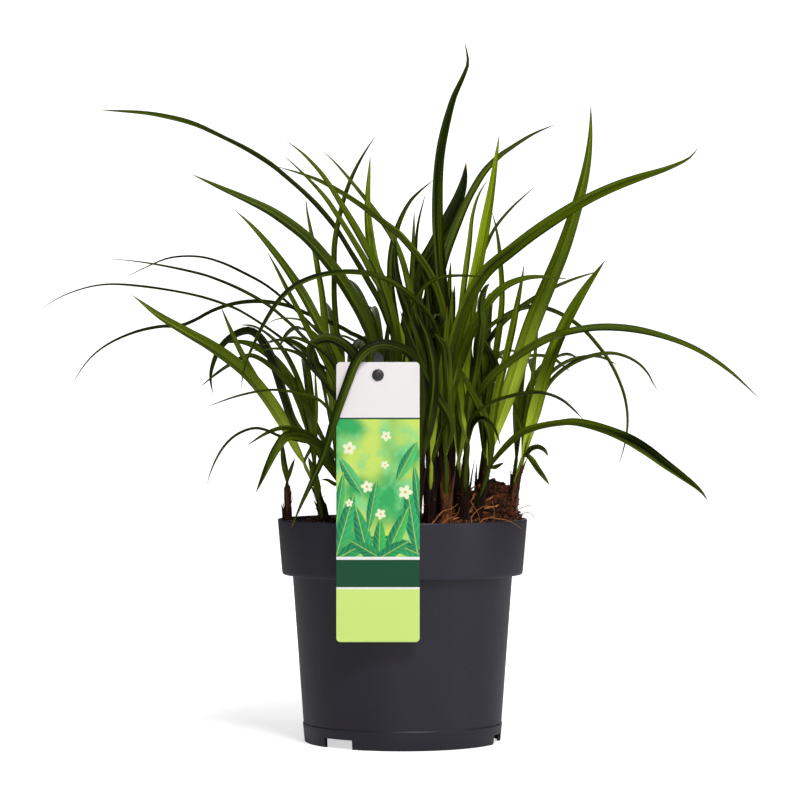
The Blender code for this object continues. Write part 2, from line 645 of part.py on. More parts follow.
def make_stake():
    """A flat stake, pointed below, with a round knob that holds the card."""
    bm = bmesh.new()
    half = STAKE_WIDTH / 2.0
    outline = [
        (-half * 0.25, STAKE_FOOT[1]),
        (half * 0.25, STAKE_FOOT[1]),
        (half, STAKE_FOOT[1] + 16.0),
        (half, STAKE_TOP[1] - 3.0),
        (half * 0.5, STAKE_TOP[1]),
        (-half * 0.5, STAKE_TOP[1]),
        (-half, STAKE_TOP[1] - 3.0),
        (-half, STAKE_FOOT[1] + 16.0),
    ]
    faces = []
    for side in (-1.0, 1.0):
        offset = side * STAKE_THICKNESS / 2.0
        faces.append([bm.verts.new((CARD_X + x, stake_y(z) + offset, z)) for x, z in outline])
    for k in range(len(outline)):
        n = (k + 1) % len(outline)
        bm.faces.new((faces[0][k], faces[0][n], faces[1][n], faces[1][k]))
    bm.faces.new(faces[0])
    bm.faces.new(faces[1])
    plastic = material("stake_plastic", (0.02, 0.02, 0.022), 0.45)
    stake = link("tag_stake", mesh_of(bm, "tag_stake"), plastic)
    front = CARD_BACK - CARD_THICKNESS
    neck = rod(KNOB_NECK, stake_y(CARD_HOLE[1]), front - GAP - 0.8, 16)
    head = rod(KNOB_RADIUS, front - GAP, front - GAP - 1.6, 20)
    parts = [link("neck", mesh_of(neck, "neck"), plastic), link("head", mesh_of(head, "head"), plastic)]
    joined(stake, parts, "UNION", "EXACT")
    return stake


def placed(x, y, z):
    """Moves a point seen from the front at (x, z) along the line of sight to depth y."""
    k = 1.0 + y / EYE[1]
    return np.array((EYE[0] + (x - EYE[0]) * k, y, EYE[2] + (z - EYE[2]) * k))


def rounded_path(points, count):
    """A smooth curve through the points, read at equal distances."""
    pts = np.array(points, float)
    gaps = np.sqrt(np.maximum(np.linalg.norm(np.diff(pts, axis=0), axis=1), 1e-6))
    knots = np.concatenate(([0.0], np.cumsum(gaps)))
    slopes = np.zeros_like(pts)
    for k in range(len(pts)):
        a, b = max(k - 1, 0), min(k + 1, len(pts) - 1)
        slopes[k] = (pts[b] - pts[a]) / (knots[b] - knots[a])
    fine = []
    for k in range(len(pts) - 1):
        span = knots[k + 1] - knots[k]
        for t in np.linspace(0.0, 1.0, 24, endpoint=False):
            h1 = 2 * t ** 3 - 3 * t ** 2 + 1
            h2 = t ** 3 - 2 * t ** 2 + t
            h3 = -2 * t ** 3 + 3 * t ** 2
            h4 = t ** 3 - t ** 2
            fine.append(h1 * pts[k] + h2 * span * slopes[k] + h3 * pts[k + 1] + h4 * span * slopes[k + 1])
    fine.append(pts[-1])
    return evenly(np.array(fine), count)


def evenly(line, count):
    along = np.concatenate(([0.0], np.cumsum(np.linalg.norm(np.diff(line, axis=0), axis=1))))
    wanted = np.linspace(0.0, along[-1], count)
    return np.stack([np.interp(wanted, along, line[:, k]) for k in range(3)], axis=1)


def stem_line(foot, crown_x, crown_z):
    """The stem's axis: upright in the compost, then leaning to its top."""
    level = ground(*foot)
    top = placed(crown_x, foot[1], crown_z)
    low = np.array((foot[0], foot[1], level - CORE_DEPTH))
    out = np.array((foot[0], foot[1], level + 2.0))
    mid = out + (top - out) * 0.5
    mid[0] -= (top[0] - out[0]) * STEM_BELLY
    return [low, out, mid, top]


def leaf_points(stem, depth, seen):
    """The leaf's route: up inside the stem, then through the points seen from the front."""
    top = stem[-1]
    start = top + (stem[-2] - top) * LEAF_ROOT
    flat = [(start[0], start[2]), (top[0], top[2])] + [(p[0], p[1]) for p in seen]
    flat = np.array(flat, float)
    along = np.concatenate(([0.0], np.cumsum(np.linalg.norm(np.diff(flat, axis=0), axis=1))))
    root_y = top[1]
    route = [start, top]
    for k, point in enumerate(seen):
        if len(point) == 3:
            y = point[2]
        else:
            share = (along[k + 2] - along[1]) / (along[-1] - along[1])
            y = root_y + (depth - root_y) * share ** DEPTH_CURVE
        route.append(placed(point[0], y, point[1]))
    return route


def arched_points(stem, compass, length, droop):
    """The route of a leaf that rises from the stem and arches over in one compass direction."""
    top = stem[-1]
    start = top + (stem[-2] - top) * LEAF_ROOT
    across = np.array((math.cos(compass), math.sin(compass), 0.0))
    route = [start, top]
    steps = 7
    point = top.copy()
    for k in range(steps):
        rise = math.radians(STEEPEST_RISE - droop * ((k + 0.5) / steps) ** 1.2)
        step = length / steps
        point = point + across * step * math.cos(rise) + np.array((0.0, 0.0, 1.0)) * step * math.sin(rise)
        route.append(point.copy())
    return route


def plan_leaves():
    """All the leaves, as dictionaries with their route, widths and turns."""
    draw = random.Random(11)
    shoots = []
    leaves = []
    for number, (name, (foot, crown, sheath, listed)) in enumerate(SHOOTS.items()):
        stem = stem_line(foot, *crown)
        radius = CORE_RADIUS + (CORE_EXTRA if len(listed) > MANY_LEAVES else 0.0)
        shoots.append({"name": name, "foot": foot, "stem": stem, "sheath": sheath, "radius": radius,
                       "ground": ground(*foot)})
        for width, turn, depth, seen in listed:
            route = rounded_path(leaf_points(stem, depth, seen), STATIONS)
            width, taper = width if isinstance(width, tuple) else (width, TAPER)
            leaves.append({"shoot": number, "line": route, "free": False, "turn": turn,
                           "widths": leaf_widths(route, shoots[number], width, taper),
                           "across": np.array((0.0, 1.0, 0.0))})
    names = list(SHOOTS)
    for name, count, middle, spread, shortest, longest in UNSEEN:
        number = names.index(name)
        for k in range(count):
            share = (k + 0.5) / count - 0.5
            stray = draw.uniform(-UNSEEN_STRAY, UNSEEN_STRAY)
            compass = math.radians(middle + spread * 2.0 * share + stray)
            length = draw.uniform(shortest, longest)
            droop = draw.uniform(*DROOPS)
            route = rounded_path(arched_points(shoots[number]["stem"], compass, length, droop), STATIONS)
            across = np.array((-math.sin(compass), math.cos(compass), 0.0))
            turn = draw.uniform(-UNSEEN_TURN, UNSEEN_TURN)
            width = draw.uniform(*UNSEEN_WIDTHS)
            leaves.append({"shoot": number, "line": route, "free": True, "across": across,
                           "widths": leaf_widths(route, shoots[number], width, TAPER),
                           "turn": (turn * 0.5, turn)})
    return shoots, leaves


def leaf_frames(line, across, turn):
    """Unit tangent, side and face directions along a leaf."""
    tangent = np.gradient(line, axis=0)
    tangent /= np.linalg.norm(tangent, axis=1)[:, None]
    edge = across - tangent * (tangent @ across)[:, None]
    edge /= np.linalg.norm(edge, axis=1)[:, None]
    face = np.cross(tangent, edge)
    share = np.linspace(0.0, 1.0, len(line))
    angle = np.radians(np.interp(share, np.linspace(0.0, 1.0, len(turn)), turn))[:, None]
    side = edge * np.cos(angle) + face * np.sin(angle)
    normal = np.cross(side, tangent)
    if normal[len(line) // 2:, 2].mean() < 0.0:
        side, normal = -side, -normal
    return tangent, side, normal


def leaf_widths(route, shoot, width, taper):
    """Width along a leaf: narrow in the stem, full over its middle, drawn out to a point."""
    share = np.linspace(0.0, 1.0, STATIONS)
    length = np.linalg.norm(np.diff(route, axis=0), axis=1).sum()
    inside = np.linalg.norm(shoot["stem"][-1] - route[0]) / length
    root = min(WIDEST_ROOT, ROOT_WIDTH * shoot["radius"] / width)
    rise = root + (1.0 - root) * np.clip((share - inside) / WIDENING, 0.0, 1.0) ** 0.8
    fall = 1.0 - np.clip((share - FULL_UNTIL) / (1.0 - FULL_UNTIL), 0.0, 1.0) ** taper
    return width * rise * fall


def bend_clear(shoots, leaves):
    """Bends leaves of different shoots apart, as they grow past each other, with their roots held.

    A leaf that is drawn from the front moves in depth alone, so its outline from there stays.
    """
    lines = np.array([leaf["line"] for leaf in leaves])
    total, count = lines.shape[0], lines.shape[1]
    owner = np.repeat([leaf["shoot"] for leaf in leaves], count)
    free = np.repeat([leaf["free"] for leaf in leaves], count)
    half = np.array([leaf["widths"] for leaf in leaves]).reshape(-1) / 2.0
    posts, post_owner, post_half = stem_posts(shoots)
    for bend_round in range(BEND_ROUNDS):
        points = np.concatenate((lines.reshape(-1, 3), posts))
        if bend_round % PAIR_ROUNDS == 0:
            pairs = near_pairs(points, np.concatenate((owner, post_owner)), len(owner))
        frames = [leaf_frames(lines[k], leaf["across"], leaf["turn"]) for k, leaf in enumerate(leaves)]
        side = np.concatenate([f[1] for f in frames])
        push = np.zeros((len(owner), 3))
        i, j = pairs[:, 0], pairs[:, 1]
        apart = points[i] - points[j]
        distance = np.maximum(np.linalg.norm(apart, axis=1), 1e-6)
        unit = apart / distance[:, None]
        need = reach_along(side, half, i, unit) + CLEARANCE
        soft = j < len(owner)
        need[soft] += reach_along(side, half, j[soft], unit[soft])
        need[~soft] += post_half[j[~soft] - len(owner)]
        lack = need - distance
        bad = lack > 0.0
        i, j, unit, lack, soft = i[bad], j[bad], unit[bad], lack[bad], soft[bad]
        first = bend_step(points[i], unit, free[i]) * lack[:, None]
        first[~soft] *= 2.0
        strongest(push, i, first * 0.5)
        back = j[soft]
        second = bend_step(points[back], -unit[soft], free[back]) * lack[soft][:, None]
        strongest(push, back, second * 0.5)
        label_push(lines.reshape(-1, 3), side, half, push)
        push = push.reshape(total, count, 3)
        for k in range(total):
            if not push[k].any():
                continue
            lines[k] += spread_push(lines[k], push[k])
    for k, leaf in enumerate(leaves):
        leaf["line"] = evenly(lines[k], count)


def stem_posts(shoots):
    posts, owner, half = [], [], []
    for number, shoot in enumerate(shoots):
        line = evenly(np.array(shoot["stem"][1:]), 12)
        for point in line:
            posts.append(point)
            owner.append(number)
            half.append(shoot["radius"] + SHEATH_WALL + 0.5)
    return np.array(posts), np.array(owner), np.array(half)


def near_pairs(points, owner, movable):
    tree = KDTree(len(points))
    for k, point in enumerate(points):
        tree.insert(point, k)
    tree.balance()
    found = []
    for i in range(movable):
        for _, j, _ in tree.find_range(points[i], PAIR_REACH):
            if owner[i] != owner[j] and (j > i):
                found.append((i, j))
    return np.array(found)


def reach_along(side, half, index, unit):
    """Half of a leaf's size along a direction: its width on edge, its fold and thickness on its face."""
    along = np.abs((side[index] * unit).sum(axis=1))
    flat = np.sqrt(np.maximum(1.0 - along ** 2, 0.0))
    return half[index] * (along + FACE_REACH * flat) + 0.5


def bend_step(points, unit, free):
    """Direction in which a leaf gives way: any for a free leaf, depth alone for a drawn one."""
    step = unit.copy()
    drawn = ~free
    sign = np.where(unit[drawn, 1] >= 0.0, 1.0, -1.0)
    step[drawn] = sight(points[drawn]) * sign[:, None]
    return step


def sight(points):
    """Line of sight through each point, for one millimetre of depth."""
    depth = points[:, 1] + EYE[1]
    return np.stack(((points[:, 0] - EYE[0]) / depth, np.ones(len(points)), (points[:, 2] - EYE[2]) / depth),
                    axis=1)


def strongest(push, index, wanted):
    """Keeps the strongest push at each station, one by one, in a fixed order."""
    size = np.abs(wanted).sum(axis=1)
    for k in np.argsort(size, kind="stable"):
        push[index[k]] = wanted[k]


def label_push(points, side, half, push):
    """Keeps leaves off the card and the stake, on the side where they are."""
    room = half * np.abs(side[:, 1]) + LABEL_ROOM
    x, y, z = points[:, 0], points[:, 1], points[:, 2]
    reach = CARD_WIDTH / 2.0 + 3.0 + half
    by_card = (np.abs(x - CARD_X) < reach) & (z < CARD_TOP + 3.0) & (z > CARD_FOOT)
    middle = CARD_BACK - CARD_THICKNESS / 2.0
    view = sight(points)
    behind = by_card & (y > middle) & (y < CARD_BACK + room)
    push[behind] = view[behind] * (CARD_BACK + room - y)[behind, None]
    ahead = by_card & (y <= middle) & (y > CARD_BACK - KNOB_ROOM - room)
    push[ahead] = view[ahead] * (CARD_BACK - KNOB_ROOM - room - y)[ahead, None]
    back_face = STAKE_FOOT[0] + (STAKE_TOP[0] - STAKE_FOOT[0]) * (z - STAKE_FOOT[1]) / (
        STAKE_TOP[1] - STAKE_FOOT[1]) + STAKE_THICKNESS / 2.0
    by_stake = (np.abs(x - CARD_X) < STAKE_WIDTH / 2.0 + 1.5 + half) & (z < STAKE_TOP[1] + 3.0)
    touching = by_stake & (y > middle) & (y < back_face + room)
    push[touching] = view[touching] * (back_face + room - y)[touching, None]


def spread_push(line, push):
    """Spreads the pushes along a leaf as a smooth bend, and holds its root."""
    along = np.concatenate(([0.0], np.cumsum(np.linalg.norm(np.diff(line, axis=0), axis=1))))
    kernel = np.exp(-((along[:, None] - along[None, :]) / BEND_LENGTH) ** 2)
    pushed = np.abs(push).sum(axis=1) > 0.0
    total = kernel @ push
    weight = np.maximum(kernel @ pushed.astype(float), 1.0)
    hold = np.clip((along - HELD_LENGTH) / FREED_OVER, 0.0, 1.0)
    hold = hold * hold * (3.0 - 2.0 * hold)
    return BEND_SHARE * total / weight[:, None] * hold[:, None]


def ring_stations(line):
    """Stations where the blade gets a ring of corners: closer together where it bends."""
    steps = np.diff(line, axis=0)
    lengths = np.linalg.norm(steps, axis=1)
    units = steps / lengths[:, None]
    turns = np.degrees(np.arccos(np.clip((units[1:] * units[:-1]).sum(axis=1), -1.0, 1.0)))
    effort = np.concatenate(([0.0], lengths / RING_LENGTH))
    effort[1:-1] += turns / RING_TURN
    effort = np.cumsum(effort)
    rings = min(max(math.ceil(effort[-1]) + 1, FEWEST_RINGS), MOST_RINGS)
    wanted = np.linspace(0.0, effort[-1], rings)
    found = [int(np.argmin(np.abs(effort - value))) for value in wanted]
    return sorted(set(found) | {0, len(line) - 1})


def leaf_mesh(leaf, name):
    """A keeled blade: two slopes that meet in a fold, knife edges, a point at the tip."""
    stations = ring_stations(leaf["line"])
    rings = len(stations)
    line = leaf["line"][stations]
    _, side, normal = leaf_frames(leaf["line"], leaf["across"], leaf["turn"])
    side, normal = side[stations], normal[stations]
    width = leaf["widths"][stations]
    bm = bmesh.new()
    rows = []
    for k in range(rings - 1):
        half = max(width[k] / 2.0, NARROWEST_HALF)
        lift = normal[k] * half * FOLD
        thick = normal[k] * BLADE_THICKNESS / 2.0
        corners = (line[k] - side[k] * half + lift, line[k] - lift + thick,
                   line[k] + side[k] * half + lift, line[k] - lift - thick)
        rows.append([bm.verts.new(c) for c in corners])
    tip = bm.verts.new(line[-1])
    for a, b in zip(rows, rows[1:]):
        left, keel, right, under = 0, 1, 2, 3
        for outer, inner in ((left, keel), (left, under), (right, keel), (right, under)):
            bm.faces.new((a[outer], a[inner], b[inner]))
            bm.faces.new((a[outer], b[inner], b[outer]))
    last = rows[-1]
    for k in range(4):
        bm.faces.new((last[k], last[(k + 1) % 4], tip))
    first = rows[0]
    bm.faces.new((first[0], first[1], first[3]))
    bm.faces.new((first[1], first[2], first[3]))
    return mesh_of(bm, name)


def stem_core(shoot):
    """The shoot's stem of tightly wrapped leaf bases, slightly flat and closing at its top."""
    line = evenly(rounded_path(shoot["stem"], 40), 5)
    bm = bmesh.new()
    rows = []
    for k, point in enumerate(line):
        share = k / (len(line) - 1)
        radius = shoot["radius"] * (1.0 - CORE_NARROWING * ease((share - 0.45) / 0.55))
        ring = []
        for n in range(CORE_SIDES):
            a = 2.0 * math.pi * n / CORE_SIDES
            flat = CORE_FLATNESS + (1.0 - CORE_FLATNESS) * (1.0 - ease(share * 2.0))
            ring.append(bm.verts.new((point[0] + radius * math.cos(a),
                                      point[1] + radius * flat * math.sin(a), point[2])))
        rows.append(ring)
    close_tube(bm, rows)
    tip = bm.verts.new(line[-1] + (line[-1] - line[-2]) * 0.9)
    bottom = bm.verts.new(line[0])
    for n in range(CORE_SIDES):
        bm.faces.new((rows[-1][n], rows[-1][(n + 1) % CORE_SIDES], tip))
        bm.faces.new((rows[0][(n + 1) % CORE_SIDES], rows[0][n], bottom))
    return mesh_of(bm, "core")


def close_tube(bm, rows):
    for a, b in zip(rows, rows[1:]):
        for n in range(len(a)):
            m = (n + 1) % len(a)
            bm.faces.new((a[n], a[m], b[m]))
            bm.faces.new((a[n], b[m], b[n]))


def make_shoot(number, shoot, leaves):
    mat = material(f"leaf_green_{number:02d}", GREEN, 0.38)
    core = link(f"shoot_{number:02d}_{shoot['name']}", stem_core(shoot), mat)
    blades = []
    for k, leaf in enumerate(leaves):
        blades.append(link(f"blade_{k}", leaf_mesh(leaf, "blade"), mat))
    if blades:
        joined(core, blades, "UNION", "MANIFOLD")
    smooth(core.data, 35.0)
    return core


def sheath_bore(shoot):
    """Corner radius of the sheath's bore, whose flats clear the stem."""
    return (shoot["radius"] + GAP) / math.cos(math.pi / SHEATH_SIDES) + 0.1


def make_sheath(number, shoot):
    """The brown basal sheath wrapped round the stem, higher on one side."""
    stem = rounded_path(shoot["stem"], 60)
    level = shoot["ground"]
    bottom, top = level - SHEATH_DEPTH, level + shoot["sheath"]
    heights = np.linspace(bottom, top, 3)
    slant = SHEATH_SLANT if number % 2 else -SHEATH_SLANT
    bm = bmesh.new()
    outer_rows, inner_rows = [], []
    for k, height in enumerate(heights):
        share = k / (len(heights) - 1)
        inner = sheath_bore(shoot)
        outer = inner + SHEATH_WALL - SHEATH_THINNING * share
        outer_ring, inner_ring = [], []
        for n in range(SHEATH_SIDES):
            a = 2.0 * math.pi * n / SHEATH_SIDES
            z = height + share ** 2 * slant * math.cos(a)
            x = np.interp(z, stem[:, 2], stem[:, 0])
            y = np.interp(z, stem[:, 2], stem[:, 1])
            outer_ring.append(bm.verts.new((x + outer * math.cos(a), y + outer * math.sin(a), z)))
            inner_ring.append(bm.verts.new((x + inner * math.cos(a), y + inner * math.sin(a), z)))
        outer_rows.append(outer_ring)
        inner_rows.append(inner_ring)
    close_tube(bm, outer_rows)
    close_tube(bm, inner_rows)
    for rows_out, rows_in in ((outer_rows[0], inner_rows[0]), (outer_rows[-1], inner_rows[-1])):
        for n in range(SHEATH_SIDES):
            m = (n + 1) % SHEATH_SIDES
            bm.faces.new((rows_out[n], rows_out[m], rows_in[m]))
            bm.faces.new((rows_out[n], rows_in[m], rows_in[n]))
    mat = material(f"sheath_brown_{number:02d}", SHEATH_BROWN, 0.6)
    sheath = link(f"sheath_{number:02d}_{shoot['name']}", mesh_of(bm, "sheath"), mat)
    smooth(sheath.data, 50.0)
    return sheath


def main():
    clear_scene()
    shoots, leaves = plan_leaves()
    bend_clear(shoots, leaves)
    make_pot()
    make_compost(shoots)
    make_tag()
    make_stake()
    for number, shoot in enumerate(shoots):
        own = [leaf for leaf in leaves if leaf["shoot"] == number]
        make_shoot(number + 1, shoot, own)
        make_sheath(number + 1, shoot)


main()
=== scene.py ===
"""Looks of the potted carex sedge: fine leaves, sheaths, compost, pot, plant label and studio.

Lengths are in millimetres, and become metres where a mesh is made. The shoots' table and the rule that
bends the leaves clear of each other are those of the CAD source, so each leaf lies where its solid lies.
"""
import json
import math
import random

import bmesh
import bpy
import numpy as np
from mathutils import Matrix, Vector, noise
from mathutils.kdtree import KDTree

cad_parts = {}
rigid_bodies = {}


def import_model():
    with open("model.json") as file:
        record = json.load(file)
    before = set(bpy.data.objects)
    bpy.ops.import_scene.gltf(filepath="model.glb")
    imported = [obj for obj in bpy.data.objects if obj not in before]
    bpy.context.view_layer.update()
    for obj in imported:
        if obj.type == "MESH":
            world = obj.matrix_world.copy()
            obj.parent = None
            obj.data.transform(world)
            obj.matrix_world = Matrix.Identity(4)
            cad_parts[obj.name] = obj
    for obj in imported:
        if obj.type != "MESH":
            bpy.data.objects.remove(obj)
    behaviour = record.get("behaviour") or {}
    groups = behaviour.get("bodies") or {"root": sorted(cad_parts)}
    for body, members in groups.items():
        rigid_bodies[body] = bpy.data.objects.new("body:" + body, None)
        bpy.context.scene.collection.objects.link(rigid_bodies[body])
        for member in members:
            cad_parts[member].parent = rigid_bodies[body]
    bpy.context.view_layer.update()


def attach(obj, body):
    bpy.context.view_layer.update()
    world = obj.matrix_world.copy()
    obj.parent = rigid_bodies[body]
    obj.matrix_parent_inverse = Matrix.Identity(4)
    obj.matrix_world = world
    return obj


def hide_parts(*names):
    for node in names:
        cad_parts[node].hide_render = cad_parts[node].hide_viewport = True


MM = 0.001
BODY = "root"

# Pot
POT_HEIGHT = 169.0
RIM_RADIUS = 95.0
BAND_FOOT_RADIUS = 91.6
BAND_FOOT = 127.0
BODY_TOP_RADIUS = 83.7
FOOT_RADIUS = 74.5
WALL = 1.5
BASE_HEIGHT = 8.0
CREASE_HEIGHT = 14.0
NOTCH_HEIGHT = 7.0
NOTCH_STEPS = 16
NOTCHES = ((219.0, 240.0), (336.6, 357.0), (98.0, 118.0))
DRAIN_HOLES = 8
DRAIN_RADIUS = 5.0
DRAIN_CIRCLE = 56.0
POT_SIDES = 192

# Compost
COMPOST_LEVEL = 166.0
MOUND_CENTRE = (70.0, 4.0)
MOUND_HEIGHT = 31.0
MOUND_SPREAD = 22.0
MOUND_EDGE = 92.0
MOUND_SLOPE = 12.0
MOUND_AT_WALL = 0.12
LUMPS = 1.0
SWELLS = 0.7
COMPOST_SIDES = 220
COMPOST_RINGS = 90
CRUMBS = 1900
CRUMB_SPREAD = (18.0, 26.0)
CRUMB_SIZE = 0.6
CRUMB_GROWTH = 2.9
CRUMB_REACH = 88.0
CRUMB_EDGE = 91.5
ROOT_FIBRES = 70
ROOT_CENTRE = (52.0, -42.0)
ROOT_SPREAD = (26.0, 24.0)
ROOT_ANYWHERE = 70.0
ROOT_LENGTHS = (8.0, 26.0)
ROOT_ARCHES = (0.3, 2.2)
ROOT_RADII = (0.16, 0.42)

# Label and stake
CARD_WIDTH = 60.9
CARD_FOOT = 82.5
CARD_TOP = 287.0
CARD_X = -18.0
CARD_BACK = -95.4
CARD_THICKNESS = 0.8
CARD_CORNER = 3.0
CARD_SOFTENING = 0.12
CARD_HOLE = (-18.0, 277.5)
CARD_HOLE_RADIUS = 3.2
STAKE_WIDTH = 8.0
STAKE_SIDES = 28
STAKE_THICKNESS = 2.0
STAKE_FOOT = (-70.0, 60.0)
STAKE_TOP = (-94.2, 294.0)
KNOB_RADIUS = 4.3
KNOB_NECK = 2.8

# Printed bands of the label, from the top down: lower edge and colour
BANDS = (
    (246.4, (0.86, 0.82, 0.82)),
    (245.2, (0.02, 0.06, 0.05)),
    (144.8, None),
    (142.6, (0.88, 0.88, 0.86)),
    (122.6, (0.008, 0.075, 0.032)),
    (121.1, (0.88, 0.88, 0.86)),
    (0.0, (0.66, 0.86, 0.22)),
)

# Shoots
EYE = (-1.9, 2300.0, 259.3)
CORE_RADIUS = 1.9
CORE_EXTRA = 0.4
MANY_LEAVES = 3
ROOT_WIDTH = 1.1
WIDEST_ROOT = 0.6
CORE_FLATNESS = 0.75
CORE_SIDES = 24
CORE_DEPTH = 22.0
SHEATH_WALL = 0.65
SHEATH_DEPTH = 9.0
STEM_BELLY = 0.12
LEAF_ROOT = 0.55
GAP = 0.3
TAPER = 3.6
WIDENING = 0.2
FULL_UNTIL = 0.3
DEPTH_CURVE = 1.4
STATIONS = 64
CLEARANCE = 1.2
BEND_ROUNDS = 120
PAIR_ROUNDS = 12
PAIR_REACH = 22.0
FACE_REACH = 0.35
BEND_LENGTH = 26.0
HELD_LENGTH = 14.0
FREED_OVER = 34.0
BEND_SHARE = 0.8
LABEL_ROOM = 1.4
KNOB_ROOM = 3.0

# Unseen leaves
STEEPEST_RISE = 82.0
DROOPS = (70.0, 120.0)
UNSEEN_WIDTHS = (6.0, 9.0)
UNSEEN_TURN = 30.0
UNSEEN_STRAY = 8.0

# Fine shape of leaves, scales, roots and scraps. A layer of scales has its distance from the stem, its share
# of the height and its angle in radians. A clear scrap has its place (x, y), its heading and its length.
COLUMNS = 13
DRY_STATIONS = 24
DRY_COLUMNS = 7
DEAD_WIDTHS = (3.0, 5.5)
DEAD_TWIST = 35.0
PLEAT = 0.07
WAVE = 0.07
LEAF_THICKNESS = 0.55
EDGE_THICKNESS = 0.14
TIP_HALF = 0.16
TIP_SHORTENING = 0.1
BASE_FOLD = 0.75
BLADE_FOLD = 0.32
SCALE_FLARE = 0.9
SCALE_LAYERS = ((0.02, 1.0, 4.6), (0.20, 0.82, 3.6), (0.36, 0.6, 3.2), (0.5, 0.36, 3.8), (0.7, 0.72, 2.4),
                (0.85, 0.5, 2.2))
STRAY_RADIUS = 0.36
ROOT_SIDES = 7
FIBRE_SIDES = 6
STEM_FIBRES = 3
LEAF_RIBS = 11.0
SCRAPS = 26
SCRAP_LENGTHS = (6.0, 16.0)
SCRAP_WIDTHS = (1.6, 3.4)
SCRAP_TURN = 40.0
CLEAR_SCRAPS = ((40.0, -14.0, 0.5, 13.0), (22.0, -16.0, 2.4, 12.0), (52.0, -30.0, 0.9, 10.0))

# Camera
CAMERA_PLACE = (-0.0019, -2.300, 0.2593)
CAMERA_LENS = 135.8

